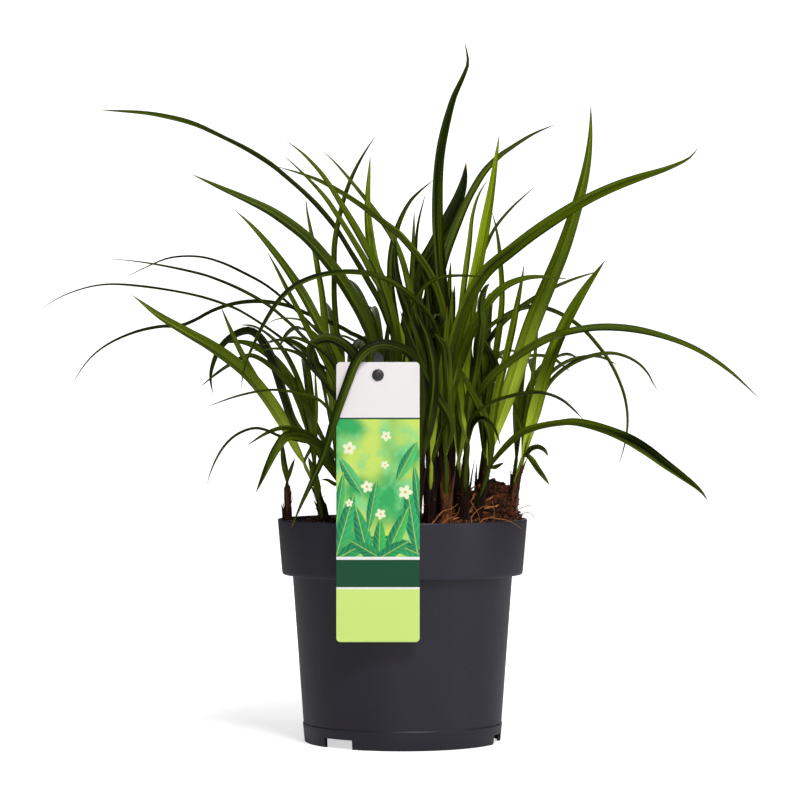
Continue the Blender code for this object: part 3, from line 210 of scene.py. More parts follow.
# Each shoot: where it leaves the compost (x, y), the top of its stem (x, z), its height of brown sheath,
# and its leaves. A leaf: width, or width and taper; turns towards the front in degrees, evenly spaced from
# root to tip; depth y of its tip; and its points (x, z) as seen from the front, or (x, z, y), from the stem
# to the tip.
SHOOTS = {
    "left_edge": ((-87, -8), (-88, 197), 28, (
        (5, (80, 60), -14, ((-89, 203), (-91, 214), (-92, 229))),
        (4, (60, 30), -30, ((-86, 205), (-82, 215))),
    )),
    "left_low": ((-60, -46), (-64, 184), 9, (
        (6, (80, 60), -52, ((-66, 196), (-69, 207), (-72, 216))),
    )),
    "left_broad": ((-58, -28), (-75, 211), 38, (
        (11, (85, 60), -70, ((-81, 221), (-90, 240), (-100, 256.5), (-112, 272), (-125, 285), (-145, 299.5),
            (-165, 311), (-185, 323), (-207, 340))),
        (6, (70, 60), -25, ((-82, 226), (-93, 245), (-104, 262), (-116, 282), (-126, 301), (-133, 317),
            (-139, 332))),
        (4, (60, 40), -40, ((-69, 226), (-66, 252), (-67, 286))),
    )),
    "left_front": ((-42, -58), (-46, 194), 20, (
        (4, (60, 40), -62, ((-52, 195), (-57, 198), (-62, 198.8))),
        ((9, 3), (70, 50), -112, ((-58, 214), (-66, 227), (-78, 233), (-89, 232), (-97, 222), (-103, 210),
            (-108, 198), (-112, 188))),
        (6, (40, 30), -92, ((-58, 220), (-70, 231.5), (-82, 236.5), (-93, 237.3), (-105, 233),
            (-119.5, 224))),
        (5, (20, 15), -124, ((-60, 222), (-78, 228), (-92, 231), (-104, 236.3), (-112, 237.8), (-120, 236),
            (-129, 231), (-137, 222.5), (-143, 212), (-147, 202), (-149.3, 193))),
        (5, (20, 12), -135, ((-50, 238), (-62, 258), (-80, 264.5), (-97, 267), (-112, 265.5), (-130, 261),
            (-152, 253))),
    )),
    "left_inner": ((-40, 0), (-50, 214), 26, (
        (9, (60, 40), 28, ((-80, 236), (-91, 262), (-98, 284), (-105, 300), (-112, 309), (-119, 311.5),
            (-130, 307), (-139, 298), (-144.5, 285), (-146, 275), (-144.3, 263))),
        (7, (60, 40), -38, ((-60, 228), (-68, 243), (-77, 258), (-87, 271), (-98, 282.5), (-108, 290),
            (-117, 293), (-128, 288), (-140, 280.5), (-155, 268.5))),
        (6, (70, 60), 60, ((-54, 270), (-58, 310), (-61, 340), (-64, 358), (-67, 375), (-70, 390),
            (-72.5, 403), (-74, 416))),
        (6, (50, 25), 30, ((-66, 292), (-80, 311.5), (-90, 321), (-100, 329.5), (-110, 336), (-125, 344),
            (-140, 350.5), (-155, 355.5), (-185, 362), (-208, 365.5), (-228, 367))),
    )),
    "tag_left": ((-30, -62), (-32, 206), 24, (
        (10, (55, 55), -88, ((-31, 262), (-37, 292), (-50, 304), (-63, 305), (-70, 297), (-66, 283),
            (-52, 266))),
        (6, (50, 30), -96, ((-42, 245), (-58, 270), (-70, 284), (-79, 294), (-95, 298.3), (-118, 296))),
        (6, (30, 20), -130, ((-40, 250), (-55, 290), (-78, 305.5), (-92, 305.5), (-107, 301))),
        (3, (50, 40), -60, ((-45, 270), (-60, 308), (-75, 319), (-88, 321.5), (-98, 320), (-107, 314))),
    )),
    "left_tall": ((-26, 22), (-30, 222), 28, (
        (10, (80, 60), 18, ((-26, 262), (-22, 300), (-29, 320), (-40, 340), (-50, 355.5), (-60, 368),
            (-70, 379.5), (-80, 388.5), (-100, 402.5), (-120, 412.5), (-140, 421.5), (-162, 432))),
        (8, (75, 60), 0, ((-45, 280), (-56, 302), (-66, 321), (-75, 338), (-85, 354), (-95, 368),
            (-107, 383), (-117, 394), (-129, 405))),
        (6, (60, 50), -30, ((-52, 275), (-65, 300), (-73, 314), (-80, 328), (-88, 343), (-96, 359),
            (-104, 374))),
        (6, (30, 60), 40, ((-46, 290), (-51, 330), (-51.5, 360), (-51, 380), (-46.5, 404), (-40, 425),
            (-31, 444), (-19, 463))),
    )),
    "left_reach": ((-12, 50), (-14, 220), 26, (
        (9, (60, 25, 6, 10, 80), 75, ((-2, 280), (-14, 325), (-28, 352), (-39, 371), (-50, 389),
            (-60, 401.5), (-70, 412.5), (-80, 422), (-90, 430.5), (-100, 438.5), (-120, 451), (-140, 461),
            (-160, 469.5), (-180, 475), (-200, 478.3), (-233, 480.5))),
        (6, (30, 15), 120, ((-40, 280), (-62, 308), (-85, 331), (-103, 346), (-120, 355.5), (-138, 364),
            (-155, 368.5), (-175, 368), (-190, 363), (-217, 350))),
        (5, (25, 18), -60, ((-50, 275), (-80, 297), (-100, 312), (-115, 322), (-130, 330), (-160, 339.5),
            (-200, 346), (-230, 347), (-258, 339), (-281, 325))),
        (7, (40, 15), -18, ((-25, 298), (-40, 310), (-55, 318), (-70, 323.5), (-85, 330), (-100, 333.3),
            (-115, 334), (-130, 332), (-145, 327), (-158, 320), (-170, 315.5), (-185, 315), (-205, 310.5),
            (-225, 301.5), (-240, 289), (-254, 268))),
    )),
    "crown_left": ((-8, -2), (-10, 224), 28, (
        (7, (70, 50), -60, ((-4, 300), (-16, 350), (-30, 379), (-45, 405), (-60, 429), (-75, 446),
            (-90, 458))),
        (6, (60, 50), -25, ((-8, 320), (-26, 360), (-38, 381), (-50, 400), (-60, 414.5), (-76, 432),
            (-92, 447))),
        (9, (80, 60), 5, ((0, 290), (-12, 332), (-22, 364), (-25.5, 385), (-27, 410), (-24.5, 447))),
        (6, (60, 50), 30, ((10, 300), (3, 352), (-6, 379), (-20, 401), (-35, 420.5), (-50, 438.5),
            (-62, 450.5))),
    )),
    "tag_over": ((10, -66), (14, 212), 26, (
        (9, (75, 70), -116, ((14, 262, -68), (9, 290, -80), (-5, 300, -98), (-20, 301, -105),
            (-33, 292, -107), (-42, 271, -108), (-53, 240, -109), (-59, 219, -110), (-66, 203, -111),
            (-76.5, 181, -114), (-85, 161, -116))),
        (7, (60, 40), -60, ((20, 250), (12, 300), (3, 330))),
        (8, (80, 60), -86, ((20, 240), (24, 275), (19, 306), (8, 331))),
    )),
    "crown_back": ((10, 38), (10, 226), 26, (
        (7, (75, 50), 60, ((0, 290), (-8, 341), (-8, 370), (-3, 392), (5, 409), (13, 418), (25, 428))),
        (6, (70, 60), 34, ((5, 290), (6, 331), (8, 380), (9, 405))),
        ((13, 6), (85, 80), 70, ((4, 300), (12, 350), (25, 376), (36, 398), (43, 413), (47, 427),
            (48.5, 441))),
        (4, (60, 60), 110, ((10, 320), (11, 385), (18, 419))),
    )),
    "centre": ((20, -28), (22, 222), 28, (
        (7, (30, 25), -200, ((28, 290), (22, 320), (0, 343), (-20, 353.5), (-40, 356.5), (-60, 354.5),
            (-75, 349.5), (-85, 343.5), (-95, 333.5), (-105, 318), (-113, 302), (-119, 288), (-122, 276),
            (-122.5, 264))),
        (7, (40, 25), -90, ((6, 300), (9, 330), (14, 342), (22, 349.5), (32, 353), (45, 354), (65, 353))),
        (9, (72, 58), -62, ((16, 263), (12, 301), (-4, 350), (-6, 386))),
    )),
    "red_base": ((33, -50), (33, 218), 44, (
        ((9.5, 4), (80, 75), -105, ((33, 260), (40, 302), (50, 334), (64, 357), (82, 372), (100, 386),
            (120, 399.5), (140, 411.5), (160, 421), (180, 428.5), (200, 435), (216, 442), (222, 447),
            (226, 453))),
        (11, (75, 20), -72, ((38, 268), (50, 304), (62, 327), (75, 342.5), (90, 350.5), (105, 353),
            (127, 351.5))),
        (7, (70, 60), -92, ((37, 241), (25, 264), (10, 293), (-2, 328))),
    )),
    "tallest": ((27, 12), (30, 230), 28, (
        (9, (80, 70), 14, ((35, 300), (30, 350), (27, 400), (29, 446), (38, 486), (46.5, 506), (50, 517),
            (47, 534))),
        (8, (70, 50), 85, ((25, 300), (30, 356), (45, 400), (60, 429), (72, 443), (84, 452), (100, 462),
            (118, 470))),
        (7, (60, 40), -34, ((32, 310), (22, 352), (0, 382), (-14, 393.5), (-30, 406), (-50, 419),
            (-70, 429), (-98, 438))),
        (9, (80, 60), 40, ((24, 280), (22, 330), (26, 372), (32, 402))),
    )),
    "bright": ((43, -16), (43, 214), 30, (
        (10, (85, 60), 12, ((42, 240), (46, 276), (52, 330), (59, 368), (64, 395), (69, 425), (74, 463))),
        (6, (60, 50), 40, ((40, 270), (46, 335), (49, 360), (51.5, 380), (53.5, 399), (58, 415),
            (66, 429))),
        (8, (70, 50), -30, ((46, 250), (36, 300), (38, 345))),
    )),
    "dark_base": ((45.5, -36), (50, 226), 50, (
        (8, (50, 40), -4, ((52, 250), (66, 274, -50), (82, 288, -54), (97, 298, -56), (112, 306, -55),
            (128, 311), (150, 314), (175, 312.7), (200, 307), (225, 297), (250, 280.5), (274, 258.5))),
        (5, (20, 15), -190, ((52, 244), (66, 256), (82, 262), (100, 265), (112, 263.5), (122, 259),
            (131, 251.5), (139, 243))),
        (5, (30, 20), -80, ((53, 238), (60, 245), (69, 239), (75, 224))),
        (8, (70, 60), -62, ((46, 245), (42, 285), (44, 318))),
    )),
    "right_back": ((60, 30), (62, 222), 26, (
        (6, (50, 40), 100, ((58, 290), (66, 304), (76, 317), (88, 327.5), (100, 336), (115, 344.5),
            (130, 351), (145, 356), (152, 358))),
        (6, (25, 30), 60, ((56, 300), (66, 314), (76, 321.5), (88, 327.7), (100, 330), (112, 328),
            (125, 322), (138, 312.5), (148, 301.5), (157, 289.5), (164, 276), (169, 262), (171.3, 247),
            (170.5, 232), (167, 217), (163.5, 207))),
        (6, (60, 50), 48, ((68, 270), (76, 330), (75, 365), (72, 388), (68, 404))),
        (5, (40, 40), 140, ((50, 330), (66, 381), (80, 402), (103, 424))),
        (8, (60, 50), 30, ((74, 262), (66, 296), (48, 318))),
    )),
    "right_broad": ((62, -4), (65, 214), 18, (
        ((13, 2.4), (85, 75), -22, ((70, 232), (80, 262), (90, 292), (99.5, 320), (112, 350), (122, 374.5),
            (130.5, 400), (137.5, 425), (141.5, 446), (143.3, 466), (143.5, 486))),
        (7, (60, 50), -8, ((72, 262), (79, 290), (84, 312), (88, 333), (91, 350), (93, 364))),
        (6, (60, 60), 14, ((64, 222), (62, 226))),
    )),
    "right_low": ((57, -34), (66, 207), 20, (
        ((9, 4), (60, 20, 80, 80), -165, ((77, 221), (90, 233), (103, 238), (118, 241), (132, 241.5),
            (150, 237.5), (170, 230), (185, 221.5), (200, 210.5), (220, 196), (228, 189), (233, 182))),
        (4, (50, 50), -44, ((71, 208), (77.5, 211.5))),
        (8, (50, 40), -60, ((66, 234), (54, 262), (40, 290))),
    )),
    "right_edge": ((84, -10), (92, 216), 31, (
        (10, (85, 70), -24, ((95, 228), (98, 240), (103.5, 260), (109, 280), (116, 299), (124, 317),
            (132, 332), (141, 346.5), (149, 358), (155, 366.5))),
        (6, (25, 20), 30, ((97, 236), (104, 255), (111, 270), (120, 280), (133, 288.5), (147, 293.3),
            (159, 294.8), (170, 292.5), (180, 287), (187, 279.5), (191, 272), (196, 264.5))),
        (5, (50, 40), -52, ((94, 217), (98, 221.5), (103, 223), (107.5, 221), (111, 216.5))),
        (6, (60, 40), -34, ((96, 216), (103, 206), (112, 194.5))),
        (5, (50, 40), 26, ((94, 240), (98, 262), (100.5, 285), (103.5, 316))),
        (5, (50, 40), 10, ((93, 232), (90, 243), (83, 261))),
    )),
    "core_front": ((21, -50), (22, 212), 32, (
        (9, (70, 60), -72, ((22, 240), (27, 275), (32, 306), (34, 330))),
        (7, (60, 50), -58, ((19, 236), (13, 266), (12, 298))),
        (5, (50, 40), -64, ((27, 228), (33, 246))),
    )),
    "core_middle": ((32, -10), (32, 214), 30, (
        (9, (75, 65), -12, ((31, 240), (33, 285), (38, 325), (40, 348))),
        (8, (60, 50), 2, ((28, 240), (20, 285), (15, 325), (12, 350))),
    )),
    "core_back": ((37, 36), (38, 216), 28, (
        (9, (70, 60), 48, ((39, 240), (45, 285), (50, 325), (52, 345))),
        (8, (65, 55), 40, ((34, 240), (30, 290), (24, 330), (20, 352))),
    )),
    "back_left": ((-44, 46), (-46, 212), 26, ()),
    "back_middle": ((4, 74), (3, 214), 26, ()),
    "back_right": ((46, 62), (48, 212), 26, ()),
    "far_left": ((-62, 30), (-67, 208), 24, ()),
    "far_right": ((84, 16), (87, 216), 22, ()),
}

# Leaves on the sides that the front doesn't show: shoot, number, middle and spread of their compass
# direction in degrees from +X towards +Y, and their shortest and longest length.
UNSEEN = (
    ("back_left", 5, 105, 32, 170, 225),
    ("back_middle", 5, 90, 40, 140, 172),
    ("back_right", 5, 78, 32, 160, 210),
    ("far_left", 3, 115, 30, 140, 190),
    ("far_right", 3, 65, 30, 140, 190),
    ("crown_back", 2, 90, 24, 170, 230),
    ("left_reach", 2, 100, 24, 160, 220),
    ("right_back", 1, 80, 20, 170, 220),
    ("tallest", 1, 275, 20, 150, 200),
    ("dark_base", 1, 280, 20, 140, 180),
    ("red_base", 1, 265, 20, 130, 170),
    ("left_tall", 1, 95, 25, 160, 210),
)


# Studio: reach and glow of the floor, glow of the world and of the backdrop, and lights (name, place, aim,
# size, power)
FLOOR_REACH = 6000.0
FLOOR_GLOW = 0.62
WORLD_GLOW = 0.04
BACKDROP_GLOW = 1.3
LIGHTS = (
    ("key", (0.6, -1.8, 1.7), (0.0, 0.0, 0.25), (0.6, 0.6), 37.0),
    ("front", (-0.1, -2.2, 0.6), (0.0, 0.0, 0.2), (0.7, 0.7), 4.5),
    ("left", (-1.7, -0.9, 0.8), (0.0, 0.0, 0.25), (0.8, 1.0), 1.0),
    ("right", (1.8, -0.9, 0.6), (0.0, 0.0, 0.15), (0.3, 1.0), 6.5),
    ("top", (0.0, 0.2, 2.2), (0.0, 0.0, 0.3), (1.2, 1.2), 6.0),
    ("back", (0.4, 2.0, 1.3), (0.0, 0.0, 0.2), (1.2, 1.2), 9.0),
)

# Colours, as linear light
# Leaf greens: the deep and fresh ends are partly painted shade and painted light, picked by each leaf's
# tone.
LEAF_DEEP_AND_SHADED = (0.0060, 0.0110, 0.0008)
LEAF_MID = (0.066, 0.102, 0.0010)
LEAF_FRESH_AND_LIT = (0.230, 0.320, 0.003)
LEAF_STREAK = (0.300, 0.400, 0.010)
LEAF_KEEL = (0.250, 0.330, 0.020)
LEAF_EDGE = (0.018, 0.018, 0.002)
LEAF_UNDER = (0.080, 0.108, 0.010)
LEAF_PALE = (0.50, 0.64, 0.05)
LEAF_DRY = (0.36, 0.17, 0.03)
SCALE_DARK = (0.006, 0.0030, 0.0032)
SCALE_RED = (0.058, 0.013, 0.007)
SCALE_TAN = (0.82, 0.30, 0.08)
SCALE_VEIN = (0.008, 0.0035, 0.0035)
SCALE_GREEN = (0.022, 0.026, 0.004)
COMPOST_DARK = (0.008, 0.0035, 0.0025)
COMPOST_RED = (0.165, 0.042, 0.012)
COMPOST_FIBRE = (0.42, 0.16, 0.05)
ROOT_DARK = (0.13, 0.034, 0.010)
ROOT_LIGHT = (0.66, 0.22, 0.05)
POT_DARK = (0.0145, 0.0118, 0.0215)
POT_LIGHT = (0.0210, 0.0180, 0.0310)
POT_DUST = (0.10, 0.10, 0.11)
STAKE_DARK = (0.012, 0.012, 0.014)
STAKE_LIGHT = (0.035, 0.035, 0.04)
CARD_PLAIN = (0.82, 0.81, 0.79)
PRINT_GREEN = (0.035, 0.42, 0.11)
PRINT_YELLOW = (0.60, 0.78, 0.14)
PRINT_MINT = (0.22, 0.70, 0.28)
PRINT_DEEP = (0.008, 0.20, 0.08)
PRINT_CREAM = (0.92, 0.93, 0.72)
PRINT_PETAL = (0.80, 0.86, 0.52)
PRINT_HEART = (0.72, 0.52, 0.06)

# Tones of a shoot's leaves in order, from deep 0 to fresh 1, partly painted light and shade: each is set to
# how lit or shaded its leaf looks, and the core shoots are kept near 0 as painted shade in the middle of the
# clump. The last is also that of leaves that follow.
TONES = {"left_edge": (0.3,), "left_low": (0.4,), "left_broad": (0.5, 0.48, 0.36),
         "left_front": (0.2, 0.22, 0.26, 0.14, 0.14), "left_inner": (0.1, 0.18, 0.5, 0.12),
         "tag_left": (0.08, 0.18, 0.12, 0.18), "left_tall": (0.34, 0.48, 0.46, 0.28),
         "left_reach": (0.22, 0.12, 0.08, 0.12, 0.26), "crown_left": (0.5, 0.42, 0.74, 0.5),
         "tag_over": (0.13, 0.16, 0.14), "crown_back": (0.22, 0.3, 0.08, 0.15, 0.26),
         "centre": (0.12, 0.22, 0.1), "red_base": (0.32, 0.4, 0.22, 0.3),
         "tallest": (0.18, 0.24, 0.3, 0.08, 0.3), "bright": (0.8, 0.7, 0.45),
         "dark_base": (0.24, 0.22, 0.22, 0.66, 0.3), "right_back": (0.26, 0.25, 0.52, 0.32, 0.2, 0.3),
         "right_broad": (0.55, 0.6, 0.45), "right_low": (0.28, 0.26, 0.2),
         "right_edge": (0.55, 0.25, 0.3, 0.35, 0.5, 0.5), "core_front": (0.42, 0.1, 0.2),
         "core_middle": (0.06, 0.05), "core_back": (0.06, 0.05), "back_left": (0.34,),
         "back_middle": (0.38,), "back_right": (0.34,), "far_left": (0.34,), "far_right": (0.34,)}

# Paleness of a leaf's base, by shoot and leaf, partly the leaves' own pale bases and partly painted light
# that brightens the lower parts of lit leaves, and brightness of a shoot's dry scales
PALE = {("right_broad", 0): 0.95, ("bright", 0): 0.9, ("bright", 1): 0.6, ("bright", 2): 0.5,
        ("right_edge", 0): 0.9, ("left_broad", 0): 0.7, ("left_broad", 1): 0.5, ("red_base", 0): 0.1,
        ("red_base", 1): 1.0, ("crown_left", 2): 0.7, ("right_broad", 1): 0.4, ("left_tall", 0): 0.25,
        ("dark_base", 3): 1.0, ("core_front", 0): 0.9, ("centre", 2): 0.2}
# Scale tones near 0 for the stems in the middle of the clump paint them near black as painted shade.
SCALE_TONES = {"red_base": 0.95, "right_edge": 0.8, "left_edge": 0.35, "left_broad": 0.3, "bright": 0.2,
               "dark_base": 0.15, "right_broad": 0.50, "core_front": 0.06, "tag_over": 0.05,
               "centre": 0.05}

# Leaves drawn narrower than their solids: shoot and leaf, and the share of the width kept
NARROWED = {("left_inner", 3): 0.62, ("left_inner", 1): 0.8, ("left_reach", 1): 0.62, ("left_reach", 2): 0.7,
            ("left_reach", 3): 0.75, ("tag_left", 1): 0.8, ("left_front", 3): 0.8, ("left_front", 4): 0.8,
            ("left_broad", 0): 0.88, ("tag_over", 0): 0.82}

# Dead leaves round a stem: how many, their greatest height and their brightness. A brightness near 0 for the
# shoots in the middle of the clump is painted shade.
DEAD_LEAVES = {"red_base": (6, 50.0, 0.75), "core_front": (6, 50.0, 0.06), "core_middle": (8, 100.0, 0.1),
               "core_back": (8, 100.0, 0.06), "tallest": (7, 100.0, 0.08), "bright": (4, 50.0, 0.12),
               "dark_base": (5, 56.0, 0.12), "right_back": (4, 56.0, 0.1), "right_broad": (2, 30.0, 0.25),
               "right_low": (3, 34.0, 0.2), "right_edge": (2, 34.0, 0.6), "centre": (10, 90.0, 0.06),
               "crown_back": (8, 100.0, 0.06), "crown_left": (6, 90.0, 0.08), "tag_over": (8, 76.0, 0.06),
               "left_reach": (4, 60.0, 0.12), "left_tall": (4, 60.0, 0.12), "tag_left": (3, 60.0, 0.2),
               "left_front": (2, 40.0, 0.25), "left_inner": (2, 50.0, 0.2)}

# Leaves in the thick of the crown: shoot, width, turn and points (x, z, y)
INNER_LEAVES = (
    ("crown_left", 8, 60, ((-9, 262, 0), (-12, 290, 2), (-10, 326, 6))),
    ("crown_left", 7, 50, ((-4, 262, -4), (2, 300, -2), (6, 338, 0))),
    ("centre", 8, 60, ((14, 262, -30), (6, 300, -34), (2, 344, -38))),
    ("centre", 9, 70, ((24, 262, -26), (23, 304, -24), (18, 352, -20))),
    ("core_middle", 9, 60, ((26, 250, -12), (18, 300, -14), (8, 356, -12))),
    ("core_back", 9, 60, ((30, 262, 36), (24, 310, 38), (14, 364, 40))),
    ("tallest", 9, 70, ((30, 262, 14), (34, 310, 16), (37, 366, 18))),
    ("crown_back", 9, 60, ((14, 262, 40), (16, 310, 44), (22, 366, 46))),
    ("right_back", 8, 60, ((60, 262, 32), (58, 300, 34), (60, 346, 36))),
    ("bright", 7, 50, ((42, 250, -16), (38, 290, -14), (34, 332, -12))),
)

# Label's picture: leaves (middle, half sizes, tilt, colour) and blossoms (middle, radius, turn)
PRINT_LEAVES = (
    ((-36, 150), (22, 5.5), 28, (0.02, 0.34, 0.10)),
    ((0, 152), (21, 5.5), -24, (0.02, 0.36, 0.13)),
    ((-42, 168), (25, 6), 74, (0.04, 0.46, 0.14)),
    ((-29, 160), (24, 6), 104, (0.03, 0.40, 0.12)),
    ((7, 172), (26, 6), 99, (0.03, 0.44, 0.15)),
    ((-5, 160), (24, 5.5), 66, (0.08, 0.55, 0.12)),
    ((-17, 154), (20, 5), 88, (0.05, 0.50, 0.10)),
    ((-38, 204), (17, 4.5), 122, (0.10, 0.58, 0.20)),
    ((3, 214), (18, 4.5), 62, (0.10, 0.60, 0.16)),
    ((-25, 149), (17, 5), 150, (0.02, 0.30, 0.09)),
    ((-8, 149), (16, 5), 30, (0.02, 0.33, 0.10)),
    ((-22, 182), (20, 4), 80, (0.05, 0.48, 0.14)),
    ((-46, 186), (22, 3.5), 82, (0.06, 0.52, 0.15)),
    ((11, 190), (24, 3.5), 97, (0.04, 0.45, 0.14)),
)
PRINT_BLOSSOMS = (
    ((-39, 224), 5.4, 10),
    ((-12, 233), 4.2, 50),
    ((-26, 196), 5.0, 30),
    ((2, 192), 5.8, 0),
    ((-13, 212), 3.4, 62),
    ((-39, 184), 3.2, 20),
    ((-16, 176), 4.4, 44),
)

# Roots that show clearly: brightness and points (x, y, z)
STRAY_ROOTS = (
    (0.8, ((47, -22, 189), (50, -30, 185), (53, -40, 180), (56, -52, 175), (57.5, -62, 169),
        (58, -66, 166))),
    (0.6, ((51.5, -68, 167), (51, -66, 172), (54, -62, 176), (58, -56, 179), (63, -50, 180.5),
        (66, -46, 179))),
    (0.3, ((67, -46, 184), (68, -54, 178), (68, -60, 171), (67, -64, 167))),
    (0.7, ((56, -67, 167), (60, -66, 171), (66, -63, 172), (70, -61, 171.2), (75.5, -59.4, 170.6),
        (81, -54, 168.4), (85.5, -48, 165.6), (88.8, -42.5, 163))),
    (0.9, ((20, -82, 167), (24, -80, 171), (28.5, -77, 176.5), (33, -73, 178.3), (37, -70, 179.5),
        (41, -66, 182.5))),
    (0.5, ((28, -84, 168), (34, -80, 172), (38, -78, 173), (41, -74, 176), (42, -70, 180))),
    (0.0, ((84, -18, 172), (88, -15, 176.5), (93, -12, 178.5), (96, -10, 179.4), (98, -8, 178))),
    (0.0, ((86, -24, 170), (91, -21, 173.6), (96, -18, 174), (99, -15, 171.5), (100, -13, 169))),
)


def ease(value):
    t = min(max(value, 0.0), 1.0)
    return t * t * (3.0 - 2.0 * t)


def ground(x, y):
    """Height of the compost: nearly level, with a mound at the right and low lumps."""
    dx, dy = x - MOUND_CENTRE[0], y - MOUND_CENTRE[1]
    mound = MOUND_HEIGHT * math.exp(-(dx * dx + dy * dy) / (2.0 * MOUND_SPREAD ** 2))
    lumps = LUMPS * math.sin(x * 0.21 + 1.0) * math.cos(y * 0.19) + SWELLS * math.sin(x * 0.09 - y * 0.13)
    edge = ease((MOUND_EDGE - math.hypot(x, y)) / MOUND_SLOPE)
    return COMPOST_LEVEL + lumps + mound * (MOUND_AT_WALL + (1.0 - MOUND_AT_WALL) * edge)


def placed(x, y, z):
    """Moves a point seen from the front at (x, z) along the line of sight to depth y."""
    k = 1.0 + y / EYE[1]
    return np.array((EYE[0] + (x - EYE[0]) * k, y, EYE[2] + (z - EYE[2]) * k))


def rounded_path(points, count):
    """A smooth curve through the points, read at equal distances."""
    pts = np.array(points, float)
    gaps = np.sqrt(np.maximum(np.linalg.norm(np.diff(pts, axis=0), axis=1), 1e-6))
    knots = np.concatenate(([0.0], np.cumsum(gaps)))
    slopes = np.zeros_like(pts)
    for k in range(len(pts)):
        a, b = max(k - 1, 0), min(k + 1, len(pts) - 1)
        slopes[k] = (pts[b] - pts[a]) / (knots[b] - knots[a])
    fine = []
    for k in range(len(pts) - 1):
        span = knots[k + 1] - knots[k]
        for t in np.linspace(0.0, 1.0, 24, endpoint=False):
            h1 = 2 * t ** 3 - 3 * t ** 2 + 1
            h2 = t ** 3 - 2 * t ** 2 + t
            h3 = -2 * t ** 3 + 3 * t ** 2
            h4 = t ** 3 - t ** 2
            fine.append(h1 * pts[k] + h2 * span * slopes[k] + h3 * pts[k + 1] + h4 * span * slopes[k + 1])
    fine.append(pts[-1])
    return evenly(np.array(fine), count)


def evenly(line, count):
    along = np.concatenate(([0.0], np.cumsum(np.linalg.norm(np.diff(line, axis=0), axis=1))))
    wanted = np.linspace(0.0, along[-1], count)
    return np.stack([np.interp(wanted, along, line[:, k]) for k in range(3)], axis=1)


def stem_line(foot, crown_x, crown_z):
    """The stem's axis: upright in the compost, then leaning to its top."""
    level = ground(*foot)
    top = placed(crown_x, foot[1], crown_z)
    low = np.array((foot[0], foot[1], level - CORE_DEPTH))
    out = np.array((foot[0], foot[1], level + 2.0))
    mid = out + (top - out) * 0.5
    mid[0] -= (top[0] - out[0]) * STEM_BELLY
    return [low, out, mid, top]


def leaf_points(stem, depth, seen):
    """The leaf's route: up inside the stem, then through the points seen from the front."""
    top = stem[-1]
    start = top + (stem[-2] - top) * LEAF_ROOT
    flat = [(start[0], start[2]), (top[0], top[2])] + [(p[0], p[1]) for p in seen]
    flat = np.array(flat, float)
    along = np.concatenate(([0.0], np.cumsum(np.linalg.norm(np.diff(flat, axis=0), axis=1))))
    root_y = top[1]
    route = [start, top]
    for k, point in enumerate(seen):
        if len(point) == 3:
            y = point[2]
        else:
            share = (along[k + 2] - along[1]) / (along[-1] - along[1])
            y = root_y + (depth - root_y) * share ** DEPTH_CURVE
        route.append(placed(point[0], y, point[1]))
    return route


def arched_points(stem, compass, length, droop):
    """The route of a leaf that rises from the stem and arches over in one compass direction."""
    top = stem[-1]
    start = top + (stem[-2] - top) * LEAF_ROOT
    across = np.array((math.cos(compass), math.sin(compass), 0.0))
    route = [start, top]
    steps = 7
    point = top.copy()
    for k in range(steps):
        rise = math.radians(STEEPEST_RISE - droop * ((k + 0.5) / steps) ** 1.2)
        step = length / steps
        point = point + across * step * math.cos(rise) + np.array((0.0, 0.0, 1.0)) * step * math.sin(rise)
        route.append(point.copy())
    return route


def plan_leaves():
    """All the leaves, as dictionaries with their route, widths and turns."""
    draw = random.Random(11)
    shoots = []
    leaves = []
    for number, (name, (foot, crown, sheath, listed)) in enumerate(SHOOTS.items()):
        stem = stem_line(foot, *crown)
        radius = CORE_RADIUS + (CORE_EXTRA if len(listed) > MANY_LEAVES else 0.0)
        shoots.append({"name": name, "foot": foot, "stem": stem, "sheath": sheath, "radius": radius,
                       "ground": ground(*foot)})
        for width, turn, depth, seen in listed:
            route = rounded_path(leaf_points(stem, depth, seen), STATIONS)
            width, taper = width if isinstance(width, tuple) else (width, TAPER)
            leaves.append({"shoot": number, "line": route, "free": False, "turn": turn,
                           "widths": leaf_widths(route, shoots[number], width, taper),
                           "across": np.array((0.0, 1.0, 0.0))})
    names = list(SHOOTS)
    for name, count, middle, spread, shortest, longest in UNSEEN:
        number = names.index(name)
        for k in range(count):
            share = (k + 0.5) / count - 0.5
            stray = draw.uniform(-UNSEEN_STRAY, UNSEEN_STRAY)
            compass = math.radians(middle + spread * 2.0 * share + stray)
            length = draw.uniform(shortest, longest)
            droop = draw.uniform(*DROOPS)
            route = rounded_path(arched_points(shoots[number]["stem"], compass, length, droop), STATIONS)
            across = np.array((-math.sin(compass), math.cos(compass), 0.0))
            turn = draw.uniform(-UNSEEN_TURN, UNSEEN_TURN)
            width = draw.uniform(*UNSEEN_WIDTHS)
            leaves.append({"shoot": number, "line": route, "free": True, "across": across,
                           "widths": leaf_widths(route, shoots[number], width, TAPER),
                           "turn": (turn * 0.5, turn)})
    return shoots, leaves


def leaf_frames(line, across, turn):
    """Unit tangent, side and face directions along a leaf."""
    tangent = np.gradient(line, axis=0)
    tangent /= np.linalg.norm(tangent, axis=1)[:, None]
    edge = across - tangent * (tangent @ across)[:, None]
    edge /= np.linalg.norm(edge, axis=1)[:, None]
    face = np.cross(tangent, edge)
    share = np.linspace(0.0, 1.0, len(line))
    angle = np.radians(np.interp(share, np.linspace(0.0, 1.0, len(turn)), turn))[:, None]
    side = edge * np.cos(angle) + face * np.sin(angle)
    normal = np.cross(side, tangent)
    if normal[len(line) // 2:, 2].mean() < 0.0:
        side, normal = -side, -normal
    return tangent, side, normal


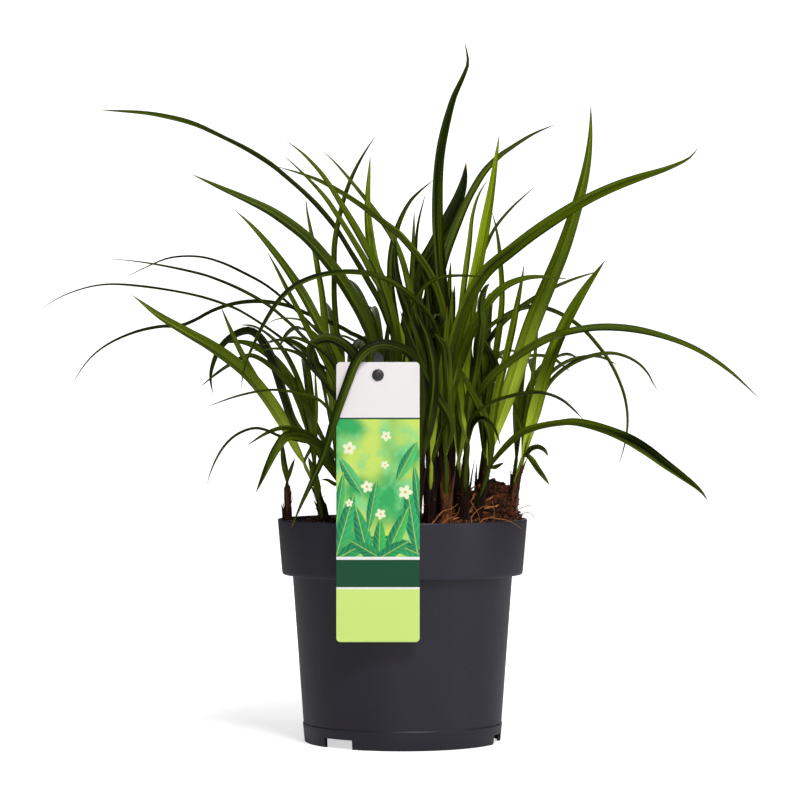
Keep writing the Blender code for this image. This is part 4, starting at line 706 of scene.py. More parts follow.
def leaf_widths(route, shoot, width, taper):
    """Width along a leaf: narrow in the stem, full over its middle, drawn out to a point."""
    share = np.linspace(0.0, 1.0, STATIONS)
    length = np.linalg.norm(np.diff(route, axis=0), axis=1).sum()
    inside = np.linalg.norm(shoot["stem"][-1] - route[0]) / length
    root = min(WIDEST_ROOT, ROOT_WIDTH * shoot["radius"] / width)
    rise = root + (1.0 - root) * np.clip((share - inside) / WIDENING, 0.0, 1.0) ** 0.8
    fall = 1.0 - np.clip((share - FULL_UNTIL) / (1.0 - FULL_UNTIL), 0.0, 1.0) ** taper
    return width * rise * fall


def bend_clear(shoots, leaves):
    """Bends leaves of different shoots apart, as they grow past each other, with their roots held.

    A leaf that is drawn from the front moves in depth alone, so its outline from there stays.
    """
    lines = np.array([leaf["line"] for leaf in leaves])
    total, count = lines.shape[0], lines.shape[1]
    owner = np.repeat([leaf["shoot"] for leaf in leaves], count)
    free = np.repeat([leaf["free"] for leaf in leaves], count)
    half = np.array([leaf["widths"] for leaf in leaves]).reshape(-1) / 2.0
    posts, post_owner, post_half = stem_posts(shoots)
    for bend_round in range(BEND_ROUNDS):
        points = np.concatenate((lines.reshape(-1, 3), posts))
        if bend_round % PAIR_ROUNDS == 0:
            pairs = near_pairs(points, np.concatenate((owner, post_owner)), len(owner))
        frames = [leaf_frames(lines[k], leaf["across"], leaf["turn"]) for k, leaf in enumerate(leaves)]
        side = np.concatenate([f[1] for f in frames])
        push = np.zeros((len(owner), 3))
        i, j = pairs[:, 0], pairs[:, 1]
        apart = points[i] - points[j]
        distance = np.maximum(np.linalg.norm(apart, axis=1), 1e-6)
        unit = apart / distance[:, None]
        need = reach_along(side, half, i, unit) + CLEARANCE
        soft = j < len(owner)
        need[soft] += reach_along(side, half, j[soft], unit[soft])
        need[~soft] += post_half[j[~soft] - len(owner)]
        lack = need - distance
        bad = lack > 0.0
        i, j, unit, lack, soft = i[bad], j[bad], unit[bad], lack[bad], soft[bad]
        first = bend_step(points[i], unit, free[i]) * lack[:, None]
        first[~soft] *= 2.0
        strongest(push, i, first * 0.5)
        back = j[soft]
        second = bend_step(points[back], -unit[soft], free[back]) * lack[soft][:, None]
        strongest(push, back, second * 0.5)
        label_push(lines.reshape(-1, 3), side, half, push)
        push = push.reshape(total, count, 3)
        for k in range(total):
            if not push[k].any():
                continue
            lines[k] += spread_push(lines[k], push[k])
    for k, leaf in enumerate(leaves):
        leaf["line"] = evenly(lines[k], count)


def stem_posts(shoots):
    posts, owner, half = [], [], []
    for number, shoot in enumerate(shoots):
        line = evenly(np.array(shoot["stem"][1:]), 12)
        for point in line:
            posts.append(point)
            owner.append(number)
            half.append(shoot["radius"] + SHEATH_WALL + 0.5)
    return np.array(posts), np.array(owner), np.array(half)


def near_pairs(points, owner, movable):
    tree = KDTree(len(points))
    for k, point in enumerate(points):
        tree.insert(point, k)
    tree.balance()
    found = []
    for i in range(movable):
        for _, j, _ in tree.find_range(points[i], PAIR_REACH):
            if owner[i] != owner[j] and (j > i):
                found.append((i, j))
    return np.array(found)


def reach_along(side, half, index, unit):
    """Half of a leaf's size along a direction: its width on edge, its fold and thickness on its face."""
    along = np.abs((side[index] * unit).sum(axis=1))
    flat = np.sqrt(np.maximum(1.0 - along ** 2, 0.0))
    return half[index] * (along + FACE_REACH * flat) + 0.5


def bend_step(points, unit, free):
    """Direction in which a leaf gives way: any for a free leaf, depth alone for a drawn one."""
    step = unit.copy()
    drawn = ~free
    sign = np.where(unit[drawn, 1] >= 0.0, 1.0, -1.0)
    step[drawn] = sight(points[drawn]) * sign[:, None]
    return step


def sight(points):
    """Line of sight through each point, for one millimetre of depth."""
    depth = points[:, 1] + EYE[1]
    return np.stack(((points[:, 0] - EYE[0]) / depth, np.ones(len(points)), (points[:, 2] - EYE[2]) / depth),
                    axis=1)


def strongest(push, index, wanted):
    """Keeps the strongest push at each station, one by one, in a fixed order."""
    size = np.abs(wanted).sum(axis=1)
    for k in np.argsort(size, kind="stable"):
        push[index[k]] = wanted[k]


def label_push(points, side, half, push):
    """Keeps leaves off the card and the stake, on the side where they are."""
    room = half * np.abs(side[:, 1]) + LABEL_ROOM
    x, y, z = points[:, 0], points[:, 1], points[:, 2]
    reach = CARD_WIDTH / 2.0 + 3.0 + half
    by_card = (np.abs(x - CARD_X) < reach) & (z < CARD_TOP + 3.0) & (z > CARD_FOOT)
    middle = CARD_BACK - CARD_THICKNESS / 2.0
    view = sight(points)
    behind = by_card & (y > middle) & (y < CARD_BACK + room)
    push[behind] = view[behind] * (CARD_BACK + room - y)[behind, None]
    ahead = by_card & (y <= middle) & (y > CARD_BACK - KNOB_ROOM - room)
    push[ahead] = view[ahead] * (CARD_BACK - KNOB_ROOM - room - y)[ahead, None]
    back_face = STAKE_FOOT[0] + (STAKE_TOP[0] - STAKE_FOOT[0]) * (z - STAKE_FOOT[1]) / (
        STAKE_TOP[1] - STAKE_FOOT[1]) + STAKE_THICKNESS / 2.0
    by_stake = (np.abs(x - CARD_X) < STAKE_WIDTH / 2.0 + 1.5 + half) & (z < STAKE_TOP[1] + 3.0)
    touching = by_stake & (y > middle) & (y < back_face + room)
    push[touching] = view[touching] * (back_face + room - y)[touching, None]


def spread_push(line, push):
    """Spreads the pushes along a leaf as a smooth bend, and holds its root."""
    along = np.concatenate(([0.0], np.cumsum(np.linalg.norm(np.diff(line, axis=0), axis=1))))
    kernel = np.exp(-((along[:, None] - along[None, :]) / BEND_LENGTH) ** 2)
    pushed = np.abs(push).sum(axis=1) > 0.0
    total = kernel @ push
    weight = np.maximum(kernel @ pushed.astype(float), 1.0)
    hold = np.clip((along - HELD_LENGTH) / FREED_OVER, 0.0, 1.0)
    hold = hold * hold * (3.0 - 2.0 * hold)
    return BEND_SHARE * total / weight[:, None] * hold[:, None]


def linked(mesh, name, mat, sharp):
    """An object with this mesh, shaded smooth but for its sharp edges."""
    mesh.shade_smooth()
    mesh.set_sharp_from_angle(angle=math.radians(sharp))
    mesh.materials.append(mat)
    obj = bpy.data.objects.new(name, mesh)
    bpy.context.scene.collection.objects.link(obj)
    return obj


def same(tag, count):
    """One tag for each of a number of points."""
    return np.tile(np.array(tag, float), (count, 1))


def band_faces(rows, sides):
    """The faces between rings of points that follow each other in a list."""
    faces = []
    for start in range(0, (rows - 1) * sides, sides):
        for k in range(sides):
            n = (k + 1) % sides
            faces.append((start + k, start + n, start + sides + n, start + sides + k))
    return faces


def capped_rings(rows, tip, foot):
    """The points and faces of rings above each other, closed by a tip and a foot."""
    sides = len(rows[0])
    top = len(rows) * sides
    faces = band_faces(len(rows), sides)
    for k in range(sides):
        n = (k + 1) % sides
        faces.append((top - sides + k, top - sides + n, top))
        faces.append((n, k, top + 1))
    return np.concatenate(rows + [[tip], [foot]]), faces


class Shells:
    """Gathers the closed shells of one piece. Each point has two tags of four numbers for its material."""

    def __init__(self):
        self.points, self.faces, self.tags, self.more = [], [], [], []
        self.count = 0

    def add(self, points, faces, tags, more):
        self.faces.extend(tuple(i + self.count for i in face) for face in faces)
        self.points.append(points)
        self.tags.append(tags)
        self.more.append(more)
        self.count += len(points)

    def sheet(self, outer, inner, tags, more_outer, more_inner):
        """A thin closed sheet between two grids of points."""
        rows, columns = outer.shape[:2]
        size = rows * columns
        grid = np.arange(size).reshape(rows, columns)
        corners = (grid[:-1, :-1], grid[:-1, 1:], grid[1:, 1:], grid[1:, :-1])
        quads = np.stack(corners, axis=-1).reshape(-1, 4)
        faces = [tuple(q) for q in quads] + [tuple(q[::-1] + size) for q in quads]
        rim = list(grid[0, :]) + list(grid[1:, -1]) + list(grid[-1, -2::-1]) + list(grid[-2:0:-1, 0])
        for a, b in zip(rim, rim[1:] + rim[:1]):
            faces.append((b, a, a + size, b + size))
        points = np.concatenate((outer.reshape(-1, 3), inner.reshape(-1, 3)))
        flat = tags.reshape(-1, 4)
        more = np.concatenate((more_outer.reshape(-1, 4), more_inner.reshape(-1, 4)))
        self.add(points, faces, np.concatenate((flat, flat)), more)

    def tube(self, line, radii, sides, tone, chance):
        """A round tube with closed ends. The tags' first number runs along it."""
        count = len(line)
        size = count * sides
        faces = band_faces(count, sides)
        faces += [tuple(range(sides - 1, -1, -1)), tuple(range(size - sides, size))]
        tags = same((0.0, 0.5, tone, 0.0), size)
        tags[:, 0] = np.repeat(np.linspace(0.0, 1.0, count), sides)
        points = ring_points(line, radii, sides).reshape(-1, 3)
        self.add(points, faces, tags, same((1.0, 1.0, chance, 1.0), size))

    def finish(self, name, mat, sharp=45.0):
        mesh = bpy.data.meshes.new(name)
        mesh.from_pydata((np.concatenate(self.points) * MM).tolist(), [], self.faces)
        for label, values in (("leaf", self.tags), ("more", self.more)):
            layer = mesh.color_attributes.new(label, "FLOAT_COLOR", "POINT")
            layer.data.foreach_set("color", np.concatenate(values).astype(np.float32).ravel())
        bm = bmesh.new()
        bm.from_mesh(mesh)
        bmesh.ops.recalc_face_normals(bm, faces=bm.faces)
        bm.to_mesh(mesh)
        bm.free()
        return linked(mesh, name, mat, sharp)


def ring_points(line, radii, sides):
    tangent = np.gradient(line, axis=0)
    tangent /= np.maximum(np.linalg.norm(tangent, axis=1), 1e-9)[:, None]
    start = np.array((0.0, 0.0, 1.0)) if abs(tangent[0, 2]) < 0.9 else np.array((1.0, 0.0, 0.0))
    rings = np.zeros((len(line), sides, 3))
    across = start
    for k in range(len(line)):
        across = across - tangent[k] * (across @ tangent[k])
        across /= np.linalg.norm(across)
        other = np.cross(tangent[k], across)
        angle = np.linspace(0.0, 2.0 * math.pi, sides, endpoint=False)[:, None]
        rings[k] = line[k] + radii[k] * (np.cos(angle) * across + np.sin(angle) * other)
    return rings


def kept(piece, slot, *nodes):
    """Makes a piece ride with the part, in place of its CAD nodes."""
    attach(piece, BODY)
    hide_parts(*nodes)
    return piece


def tag_grid(along, across, tone, base):
    """The tags of a grid: place along, place across, tone and paleness of the base."""
    shape = np.broadcast_shapes(np.shape(along), np.shape(across))
    parts = [np.broadcast_to(value, shape) for value in (along, across, tone, base)]
    return np.stack(parts, axis=-1).astype(float)


def blade(shells, leaf, tone, age, draw, columns=COLUMNS):
    """One leaf: a keeled blade with a pleat each side of its keel, folded round the stem at its base."""
    line = leaf["line"].copy()
    _, side, normal = leaf_frames(line, leaf["across"], leaf["turn"])
    line[-1] += (line[-2] - line[-1]) * TIP_SHORTENING
    share = np.linspace(0.0, 1.0, len(line))
    half = np.maximum(leaf["widths"] / 2.0, TIP_HALF * (1.0 - 0.75 * share ** 20))[:, None]
    across = np.linspace(-1.0, 1.0, columns)[None, :]
    closed = np.array([1.0 - ease(s / 0.2) for s in share])[:, None]
    fold = BLADE_FOLD + (BASE_FOLD - BLADE_FOLD) * closed
    keel = half * fold * (2.0 * np.abs(across) ** 1.2 - 1.0)
    pleat = half * PLEAT * np.sin(2.0 * math.pi * np.abs(across)) * (1.0 - closed)
    phase = draw.uniform(0.0, 6.0)
    ripples = np.linalg.norm(line[-1] - line[0]) / 9.0
    wave = WAVE * half * np.abs(across) ** 3 * np.sin(phase + across * 1.5 + share[:, None] * ripples)
    thick = (LEAF_THICKNESS * (1.0 - np.abs(across) ** 3) + EDGE_THICKNESS) * np.minimum(1.0, half / 1.4)
    middle = line[:, None] + side[:, None] * (half * across)[..., None]
    middle = middle + normal[:, None] * (keel + pleat + wave)[..., None]
    lift = normal[:, None] * (thick / 2.0)[..., None]
    tags = tag_grid(share[:, None], (across + 1.0) / 2.0, tone, leaf["pale"])
    upper = tag_grid(1.0 + 0.0 * share[:, None], age + 0.0 * across, draw.random(), 1.0)
    under = upper.copy()
    under[..., 0] = 0.0
    shells.sheet(middle + lift, middle - lift, tags, upper, under)


def stem(shells, shoot, tone, pale):
    """The stem of wrapped leaf bases, slightly flat, closing at its top."""
    line = evenly(rounded_path(shoot["stem"], 60), 26)
    share = np.linspace(0.0, 1.0, len(line))
    angle = np.linspace(0.0, 2.0 * math.pi, CORE_SIDES, endpoint=False)
    rows = []
    for k, point in enumerate(line):
        radius = shoot["radius"] * (1.0 - 0.25 * ease((share[k] - 0.45) / 0.55))
        if k == len(line) - 1:
            radius *= 0.6
        flat = CORE_FLATNESS + (1.0 - CORE_FLATNESS) * (1.0 - ease(share[k] * 2.0))
        ridge = 1.0 + 0.05 * np.cos(3.0 * angle + 2.0 * share[k])
        rows.append(np.stack((point[0] + radius * ridge * np.cos(angle),
                              point[1] + radius * flat * ridge * np.sin(angle),
                              np.full(CORE_SIDES, point[2])), axis=1))
    tip = line[-1] + (line[-1] - line[-2]) * 0.9
    points, faces = capped_rings(rows, tip, line[0])
    count = len(line) * CORE_SIDES
    tags = same((0.0, 0.0, tone, pale), len(points))
    tags[:count, 0] = np.repeat(share * 0.06, CORE_SIDES)
    tags[:count, 1] = np.tile((np.sin(angle) + 1.0) / 2.0, len(line))
    shells.add(points, faces, tags, same((1.0, 0.0, 0.5, 1.0), len(points)))


def loose_leaf(route, widths, turn, across, pale=0.0):
    """A leaf that the CAD doesn't have, along a route."""
    line = rounded_path(route, len(widths))
    return {"line": line, "widths": widths, "turn": turn, "across": np.array(across), "pale": pale}


def make_shoots(shoots, leaves, mat):
    draw = random.Random(5)
    for number, shoot in enumerate(shoots):
        shells = Shells()
        tones = TONES[shoot["name"]]
        stem(shells, shoot, tones[0] * 0.7, PALE.get((shoot["name"], 0), 0.1) * 0.6)
        own = [leaf for leaf in leaves if leaf["shoot"] == number]
        for order, leaf in enumerate(own):
            own_tone = tones[min(order, len(tones) - 1)] + draw.uniform(-0.05, 0.05)
            leaf["pale"] = PALE.get((shoot["name"], order), 0.08)
            leaf["widths"] = leaf["widths"] * NARROWED.get((shoot["name"], order), 1.0)
            blade(shells, leaf, own_tone, draw.uniform(0.0, 1.0), draw)
        for name, width, turn, seen in INNER_LEAVES:
            if name == shoot["name"]:
                route = rounded_path(leaf_points(shoot["stem"], 0.0, seen), STATIONS)
                widths = leaf_widths(route, shoot, width, TAPER)
                leaf = {"line": route, "widths": widths, "turn": (turn, turn - 20.0), "pale": 0.05,
                        "across": np.array((0.0, 1.0, 0.0))}
                blade(shells, leaf, draw.uniform(0.05, 0.3), draw.random(), draw)
        name = f"{number + 1:02d}_{shoot['name']}"
        kept(shells.finish(f"leaves_{name}", mat), "leaf_green", f"shoot_{name}")


def dead_leaves(shells, shoot, draw):
    """Narrow dead leaves that stand close round a stem, from its scales up into its leaves."""
    count, tallest, tone = DEAD_LEAVES.get(shoot["name"], (1, 30.0, 0.2))
    path = rounded_path(shoot["stem"], 80)
    turn = draw.uniform(0.0, 2.0 * math.pi)
    for number in range(count):
        angle = turn + 2.0 * math.pi * number / count + draw.uniform(-0.4, 0.4)
        out = np.array((math.cos(angle), math.sin(angle), 0.0))
        bottom = shoot["ground"] - 2.0
        height = tallest * draw.uniform(0.5, 1.0)
        spread = draw.uniform(0.02, 0.12) * height
        route = []
        for share in np.linspace(0.0, 1.0, 6):
            z = bottom + height * share
            x, y = stem_at(path, z)
            reach = shoot["radius"] + SHEATH_WALL + GAP + 0.5 + spread * share ** 2.5
            route.append(np.array((x, y, z)) + out * reach)
        share = np.linspace(0.0, 1.0, DRY_STATIONS)
        widths = draw.uniform(*DEAD_WIDTHS) * (1.0 - 0.35 * share) * (1.0 - share ** 3)
        twist = draw.uniform(-DEAD_TWIST, DEAD_TWIST)
        leaf = loose_leaf(route, widths, (0.0, twist), (-math.sin(angle), math.cos(angle), 0.0))
        blade(shells, leaf, tone + draw.uniform(-0.1, 0.15), draw.random(), draw, DRY_COLUMNS)


def stem_at(path, z):
    """Place of a stem's axis at a height."""
    return np.interp(z, path[:, 2], path[:, 0]), np.interp(z, path[:, 2], path[:, 1])


def scale_leaf(shells, shoot, middle, span, bottom, top, offset, tone, draw):
    """One dry scale leaf wrapped round the stem, cut to a slanting point."""
    path = rounded_path(shoot["stem"], 80)
    across = np.linspace(-1.0, 1.0, 19)[None, :]
    up = np.linspace(0.0, 1.0, 16)[:, None]
    skew = draw.uniform(-0.35, 0.35)
    ragged = 0.03 * np.sin(across * 17.0 + draw.uniform(0.0, 6.0)) + 0.02 * np.sin(across * 31.0)
    edge = 1.0 - 0.72 * np.abs(across - skew) ** 1.5 / (1.0 + abs(skew)) ** 1.5 + ragged
    height = bottom + (top - bottom) * up * edge
    angle = middle + across * span / 2.0 + 0.0 * up
    x, y = stem_at(path, height)
    flare = SCALE_FLARE * up ** 4 * (1.0 - np.abs(across) ** 2)
    rib = 0.06 * np.sin(across * 40.0)
    radius = shoot["radius"] + GAP + offset + flare + rib + 0.0 * angle
    thick = 0.30 - 0.16 * up + 0.0 * across
    grids = []
    for r in (radius + thick, radius):
        grids.append(np.stack((x + r * np.cos(angle), y + r * np.sin(angle), height), axis=-1))
    tags = tag_grid(up, (across + 1.0) / 2.0, tone, 0.0)
    more = tag_grid(1.0 + 0.0 * up, draw.random() + 0.0 * across, draw.random(), 1.0)
    shells.sheet(grids[0], grids[1], tags, more, more)


def loose_fibre(shells, start, heading, length, radius, tone, draw, drop=0.0):
    """A thin dry strand that starts at a point and wanders."""
    line = [np.array(start, float)]
    heading = np.array(heading, float)
    heading /= np.linalg.norm(heading)
    steps = 12
    for _ in range(steps):
        turn = np.array([draw.uniform(-1.0, 1.0) for _ in range(3)]) * 0.28
        turn[2] -= drop
        heading = heading + turn
        heading /= np.linalg.norm(heading)
        line.append(line[-1] + heading * length / steps)
    line = rounded_path(line, 26)
    radii = radius * np.linspace(1.0, 0.25, len(line))
    shells.tube(line, radii, FIBRE_SIDES, tone, draw.random())


def make_sheaths(shoots, mat):
    draw = random.Random(17)
    for number, shoot in enumerate(shoots):
        shells = Shells()
        level = shoot["ground"]
        bottom = level - SHEATH_DEPTH
        top = level + shoot["sheath"]
        tone = SCALE_TONES.get(shoot["name"], draw.uniform(0.0, 0.2))
        turn = draw.uniform(0.0, 2.0 * math.pi)
        for layer, (offset, reach, span) in enumerate(SCALE_LAYERS):
            tip = bottom + (top + 4.0 - bottom) * reach
            own_tone = tone + draw.uniform(-0.15, 0.15)
            scale_leaf(shells, shoot, turn + 2.2 * layer, span, bottom, tip, offset, own_tone, draw)
        dead_leaves(shells, shoot, draw)
        path = np.array(shoot["stem"])
        for _ in range(STEM_FIBRES):
            a = draw.uniform(0.0, 2.0 * math.pi)
            z = level + shoot["sheath"] * draw.uniform(0.2, 0.8)
            x, y = stem_at(path, z)
            reach = shoot["radius"] + GAP + 0.5
            start = (x + reach * math.cos(a), y + reach * math.sin(a), z)
            loose_fibre(shells, start, (math.cos(a), math.sin(a), 1.4), draw.uniform(5.0, 11.0), 0.28, 0.9,
                        draw, 0.06)
        name = f"{number + 1:02d}_{shoot['name']}"
        kept(shells.finish(f"scales_{name}", mat), "sheath_brown", f"sheath_{name}")


def crumbly(x, y):
    """Height of the crumbly compost above its smooth ground."""
    place = Vector((x, y, 0.0))
    coarse = noise.fractal(place * 0.11, 0.8, 2.2, 4)
    fine = noise.turbulence(place * 0.55, 3, False)
    return 1.9 * coarse + 2.0 * fine - 1.2


def make_compost(mat):
    top_radius = pot_inside(COMPOST_LEVEL) - 0.5
    inner_step = BAND_FOOT + WALL + GAP
    low = BASE_HEIGHT + WALL + GAP
    wall = [
        (FOOT_RADIUS - WALL + 1.0 - GAP, low),
        (BODY_TOP_RADIUS - WALL - GAP, inner_step),
        (BAND_FOOT_RADIUS - WALL - GAP, inner_step),
    ]
    angle = np.linspace(0.0, 2.0 * math.pi, COMPOST_SIDES, endpoint=False)
    rows = []
    for radius, z in wall:
        level = np.full(len(angle), z)
        rows.append(np.stack((radius * np.cos(angle), radius * np.sin(angle), level), axis=1))
    for step in range(COMPOST_RINGS):
        radius = top_radius * (1.0 - step / COMPOST_RINGS)
        row = []
        for a in angle:
            x, y = radius * math.cos(a), radius * math.sin(a)
            row.append((x, y, ground(x, y) + crumbly(x, y)))
        rows.append(np.array(row))
    middle = (0.0, 0.0, ground(0.0, 0.0) + crumbly(0.0, 0.0))
    points, faces = capped_rings(rows, middle, (0.0, 0.0, low))
    shells = Shells()
    more = same((1.0, 0.0, 0.5, 1.0), len(points))
    shells.add(points, faces, same((0.5, 0.5, 0.5, 0.0), len(points)), more)
    add_crumbs(shells)
    kept(shells.finish("compost_crumbs", mat, 60.0), "compost", "compost")


def add_crumbs(shells):
    """Lumps that lie on the compost, more of them on the mound."""
    draw = random.Random(23)
    bm = bmesh.new()
    bmesh.ops.create_icosphere(bm, subdivisions=2, radius=1.0)
    ball = np.array([v.co for v in bm.verts])
    faces = [tuple(v.index for v in face.verts) for face in bm.faces]
    bm.free()
    for number in range(CRUMBS):
        if number % 2:
            x = draw.gauss(MOUND_CENTRE[0], CRUMB_SPREAD[0])
            y = draw.gauss(MOUND_CENTRE[1] - 18.0, CRUMB_SPREAD[1])
        else:
            reach = CRUMB_REACH * math.sqrt(draw.random())
            a = draw.uniform(0.0, 2.0 * math.pi)
            x, y = reach * math.cos(a), reach * math.sin(a)
        size = CRUMB_SIZE + CRUMB_GROWTH * draw.random() ** 3.0
        if math.hypot(x, y) > CRUMB_EDGE - size:
            continue
        shift = Vector((draw.uniform(0.0, 50.0), draw.uniform(0.0, 50.0), draw.uniform(0.0, 50.0)))
        bumps = np.array([1.0 + 0.55 * noise.noise(Vector(p) * 1.9 + shift) for p in ball])
        stretch = np.array([draw.uniform(0.7, 1.3), draw.uniform(0.7, 1.3), draw.uniform(0.55, 0.95)])
        points = ball * bumps[:, None] * stretch * size
        points = points + np.array((x, y, ground(x, y) + crumbly(x, y) + size * 0.25))
        tone = draw.random()
        more = same((1.0, 0.0, draw.random(), 1.0), len(points))
        shells.add(points, faces, same((0.5, 0.5, tone, 0.0), len(points)), more)


def make_roots(mat):
    """Fine orange-brown root fibres over the compost, most of them at the front right."""
    draw = random.Random(31)
    shells = Shells()
    for number in range(ROOT_FIBRES):
        x = draw.gauss(ROOT_CENTRE[0], ROOT_SPREAD[0])
        y = draw.gauss(ROOT_CENTRE[1], ROOT_SPREAD[1])
        if number % 3 == 0:
            x = draw.uniform(-ROOT_ANYWHERE, ROOT_ANYWHERE)
            y = draw.uniform(-ROOT_ANYWHERE, ROOT_ANYWHERE)
        if math.hypot(x, y) > 84.0:
            continue
        heading = draw.uniform(0.0, 2.0 * math.pi)
        length = draw.uniform(*ROOT_LENGTHS)
        line = []
        steps = 12
        height = draw.uniform(*ROOT_ARCHES)
        for k in range(steps + 1):
            share = k / steps
            if math.hypot(x, y) > 88.0:
                break
            line.append((x, y, ground(x, y) + crumbly(x, y) + 0.5 + height * math.sin(math.pi * share)))
            heading += draw.uniform(-0.5, 0.5)
            x += length / steps * math.cos(heading)
            y += length / steps * math.sin(heading)
        if len(line) < 5:
            continue
        line = rounded_path(line, 40)
        radius = draw.uniform(*ROOT_RADII)
        radii = radius * np.linspace(1.0, 0.35, len(line))
        shells.tube(line, radii, ROOT_SIDES, draw.random(), draw.random())
    for tone, line in STRAY_ROOTS:
        line = rounded_path([np.array(p, float) for p in line], 60)
        shells.tube(line, STRAY_RADIUS * np.linspace(1.0, 0.4, len(line)), ROOT_SIDES, tone, 0.7)
    add_scraps(shells, draw)
    piece = shells.finish("root_fibres", mat)
    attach(piece, BODY)


def add_scraps(shells, draw):
    """Short scraps of dry yellow leaf that lie on the compost."""
    for number in range(SCRAPS):
        if number < len(CLEAR_SCRAPS):
            x, y, heading, length = CLEAR_SCRAPS[number]
        else:
            x, y = draw.gauss(45.0, 28.0), draw.gauss(-28.0, 28.0)
            heading, length = draw.uniform(0.0, 2.0 * math.pi), draw.uniform(*SCRAP_LENGTHS)
        if math.hypot(x, y) > 80.0:
            continue
        route = []
        for share in np.linspace(-0.5, 0.5, 5):
            px = x + share * length * math.cos(heading)
            py = y + share * length * math.sin(heading)
            route.append((px, py, ground(px, py) + 2.2 + 2.0 * draw.random()))
        share = np.linspace(0.0, 1.0, DRY_STATIONS)
        turn = (draw.uniform(-SCRAP_TURN, SCRAP_TURN), 20.0)
        widths = draw.uniform(*SCRAP_WIDTHS) * (1.0 - np.abs(2.0 * share - 1.0) ** 3)
        leaf = loose_leaf(route, widths, turn, (-math.sin(heading), math.cos(heading), 0.0))
        blade(shells, leaf, draw.uniform(0.7, 1.2), draw.random(), draw, DRY_COLUMNS)


def pot_inside(z):
    t = (z - BAND_FOOT) / (POT_HEIGHT - BAND_FOOT)
    return BAND_FOOT_RADIUS + t * (RIM_RADIUS - BAND_FOOT_RADIUS) - WALL


def outer_radius(z):
    """Radius of the pot's outside below its band."""
    return FOOT_RADIUS + (BODY_TOP_RADIUS - FOOT_RADIUS) * z / BAND_FOOT


def object_of(bm, name, mat, sharp=30.0):
    bmesh.ops.recalc_face_normals(bm, faces=bm.faces)
    bmesh.ops.scale(bm, vec=(MM, MM, MM), verts=bm.verts)
    mesh = bpy.data.meshes.new(name)
    bm.to_mesh(mesh)
    bm.free()
    return linked(mesh, name, mat, sharp)


def ringed(rings):
    """A solid from rings of points, with a face on each end."""
    bm = bmesh.new()
    made = [[bm.verts.new(point) for point in ring] for ring in rings]
    for a, b in zip(made, made[1:]):
        for k in range(len(a)):
            n = (k + 1) % len(a)
            bm.faces.new((a[k], a[n], b[n], b[k]))
    bm.faces.new(made[0])
    bm.faces.new(made[-1])
    return bm


def turned(profile, sides):
    """A closed solid from an (r, z) outline turned about Z. Both ends of the outline are on the axis."""
    bm = bmesh.new()
    rings = []
    for radius, z in profile:
        if radius < 1e-6:
            rings.append([bm.verts.new((0.0, 0.0, z))])
            continue
        angles = [2.0 * math.pi * k / sides for k in range(sides)]
        rings.append([bm.verts.new((radius * math.cos(a), radius * math.sin(a), z)) for a in angles])
    for low, high in zip(rings, rings[1:]):
        for k in range(sides):
            a, b = k, (k + 1) % sides
            corners = [low[a % len(low)], low[b % len(low)], high[b % len(high)], high[a % len(high)]]
            bm.faces.new(list(dict.fromkeys(corners)))
    return bm


def rounded_profile(corners, steps=4):
    """An (r, z) outline with its corners rounded. A corner is (r, z, radius of rounding)."""
    made = []
    for k, (r, z, radius) in enumerate(corners):
        if radius <= 0.0:
            made.append((r, z))
            continue
        here = Vector((r, z))
        before = (Vector(corners[k - 1][:2]) - here).normalized() * radius
        after = (Vector(corners[k + 1][:2]) - here).normalized() * radius
        for s in range(steps + 1):
            t = s / steps
            point = here + before * (1.0 - t) ** 2 + after * t ** 2
            made.append((point.x, point.y))
    return made


def wedge(start, end, height, inner, outer):
    """A block over an arc of the foot ring, for a notch."""
    rings = []
    for angle in np.radians(np.linspace(start, end, NOTCH_STEPS + 1)):
        corners = ((inner, -1.0), (outer, -1.0), (outer, height), (inner, height))
        rings.append([(r * math.cos(angle), r * math.sin(angle), z) for r, z in corners])
    return ringed(rings)


def cut(obj, cutters, sharp=30.0):
    """Cuts the cutters out of the object and removes them."""
    group = bpy.data.collections.new("cutters")
    bpy.context.scene.collection.children.link(group)
    for other in cutters:
        bpy.context.scene.collection.objects.unlink(other)
        group.objects.link(other)
    mod = obj.modifiers.new("Boolean", "BOOLEAN")
    mod.operation = "DIFFERENCE"
    mod.operand_type = "COLLECTION"
    mod.collection = group
    mod.solver = "EXACT"
    graph = bpy.context.evaluated_depsgraph_get()
    graph.update()
    mats = list(obj.data.materials)
    result = bpy.data.meshes.new_from_object(obj.evaluated_get(graph))
    obj.modifiers.clear()
    obj.data = result
    result.materials.clear()
    result.materials.append(mats[0])
    for other in cutters:
        bpy.data.objects.remove(other, do_unlink=True)
    bpy.data.collections.remove(group)
    result.shade_smooth()
    result.set_sharp_from_angle(angle=math.radians(sharp))


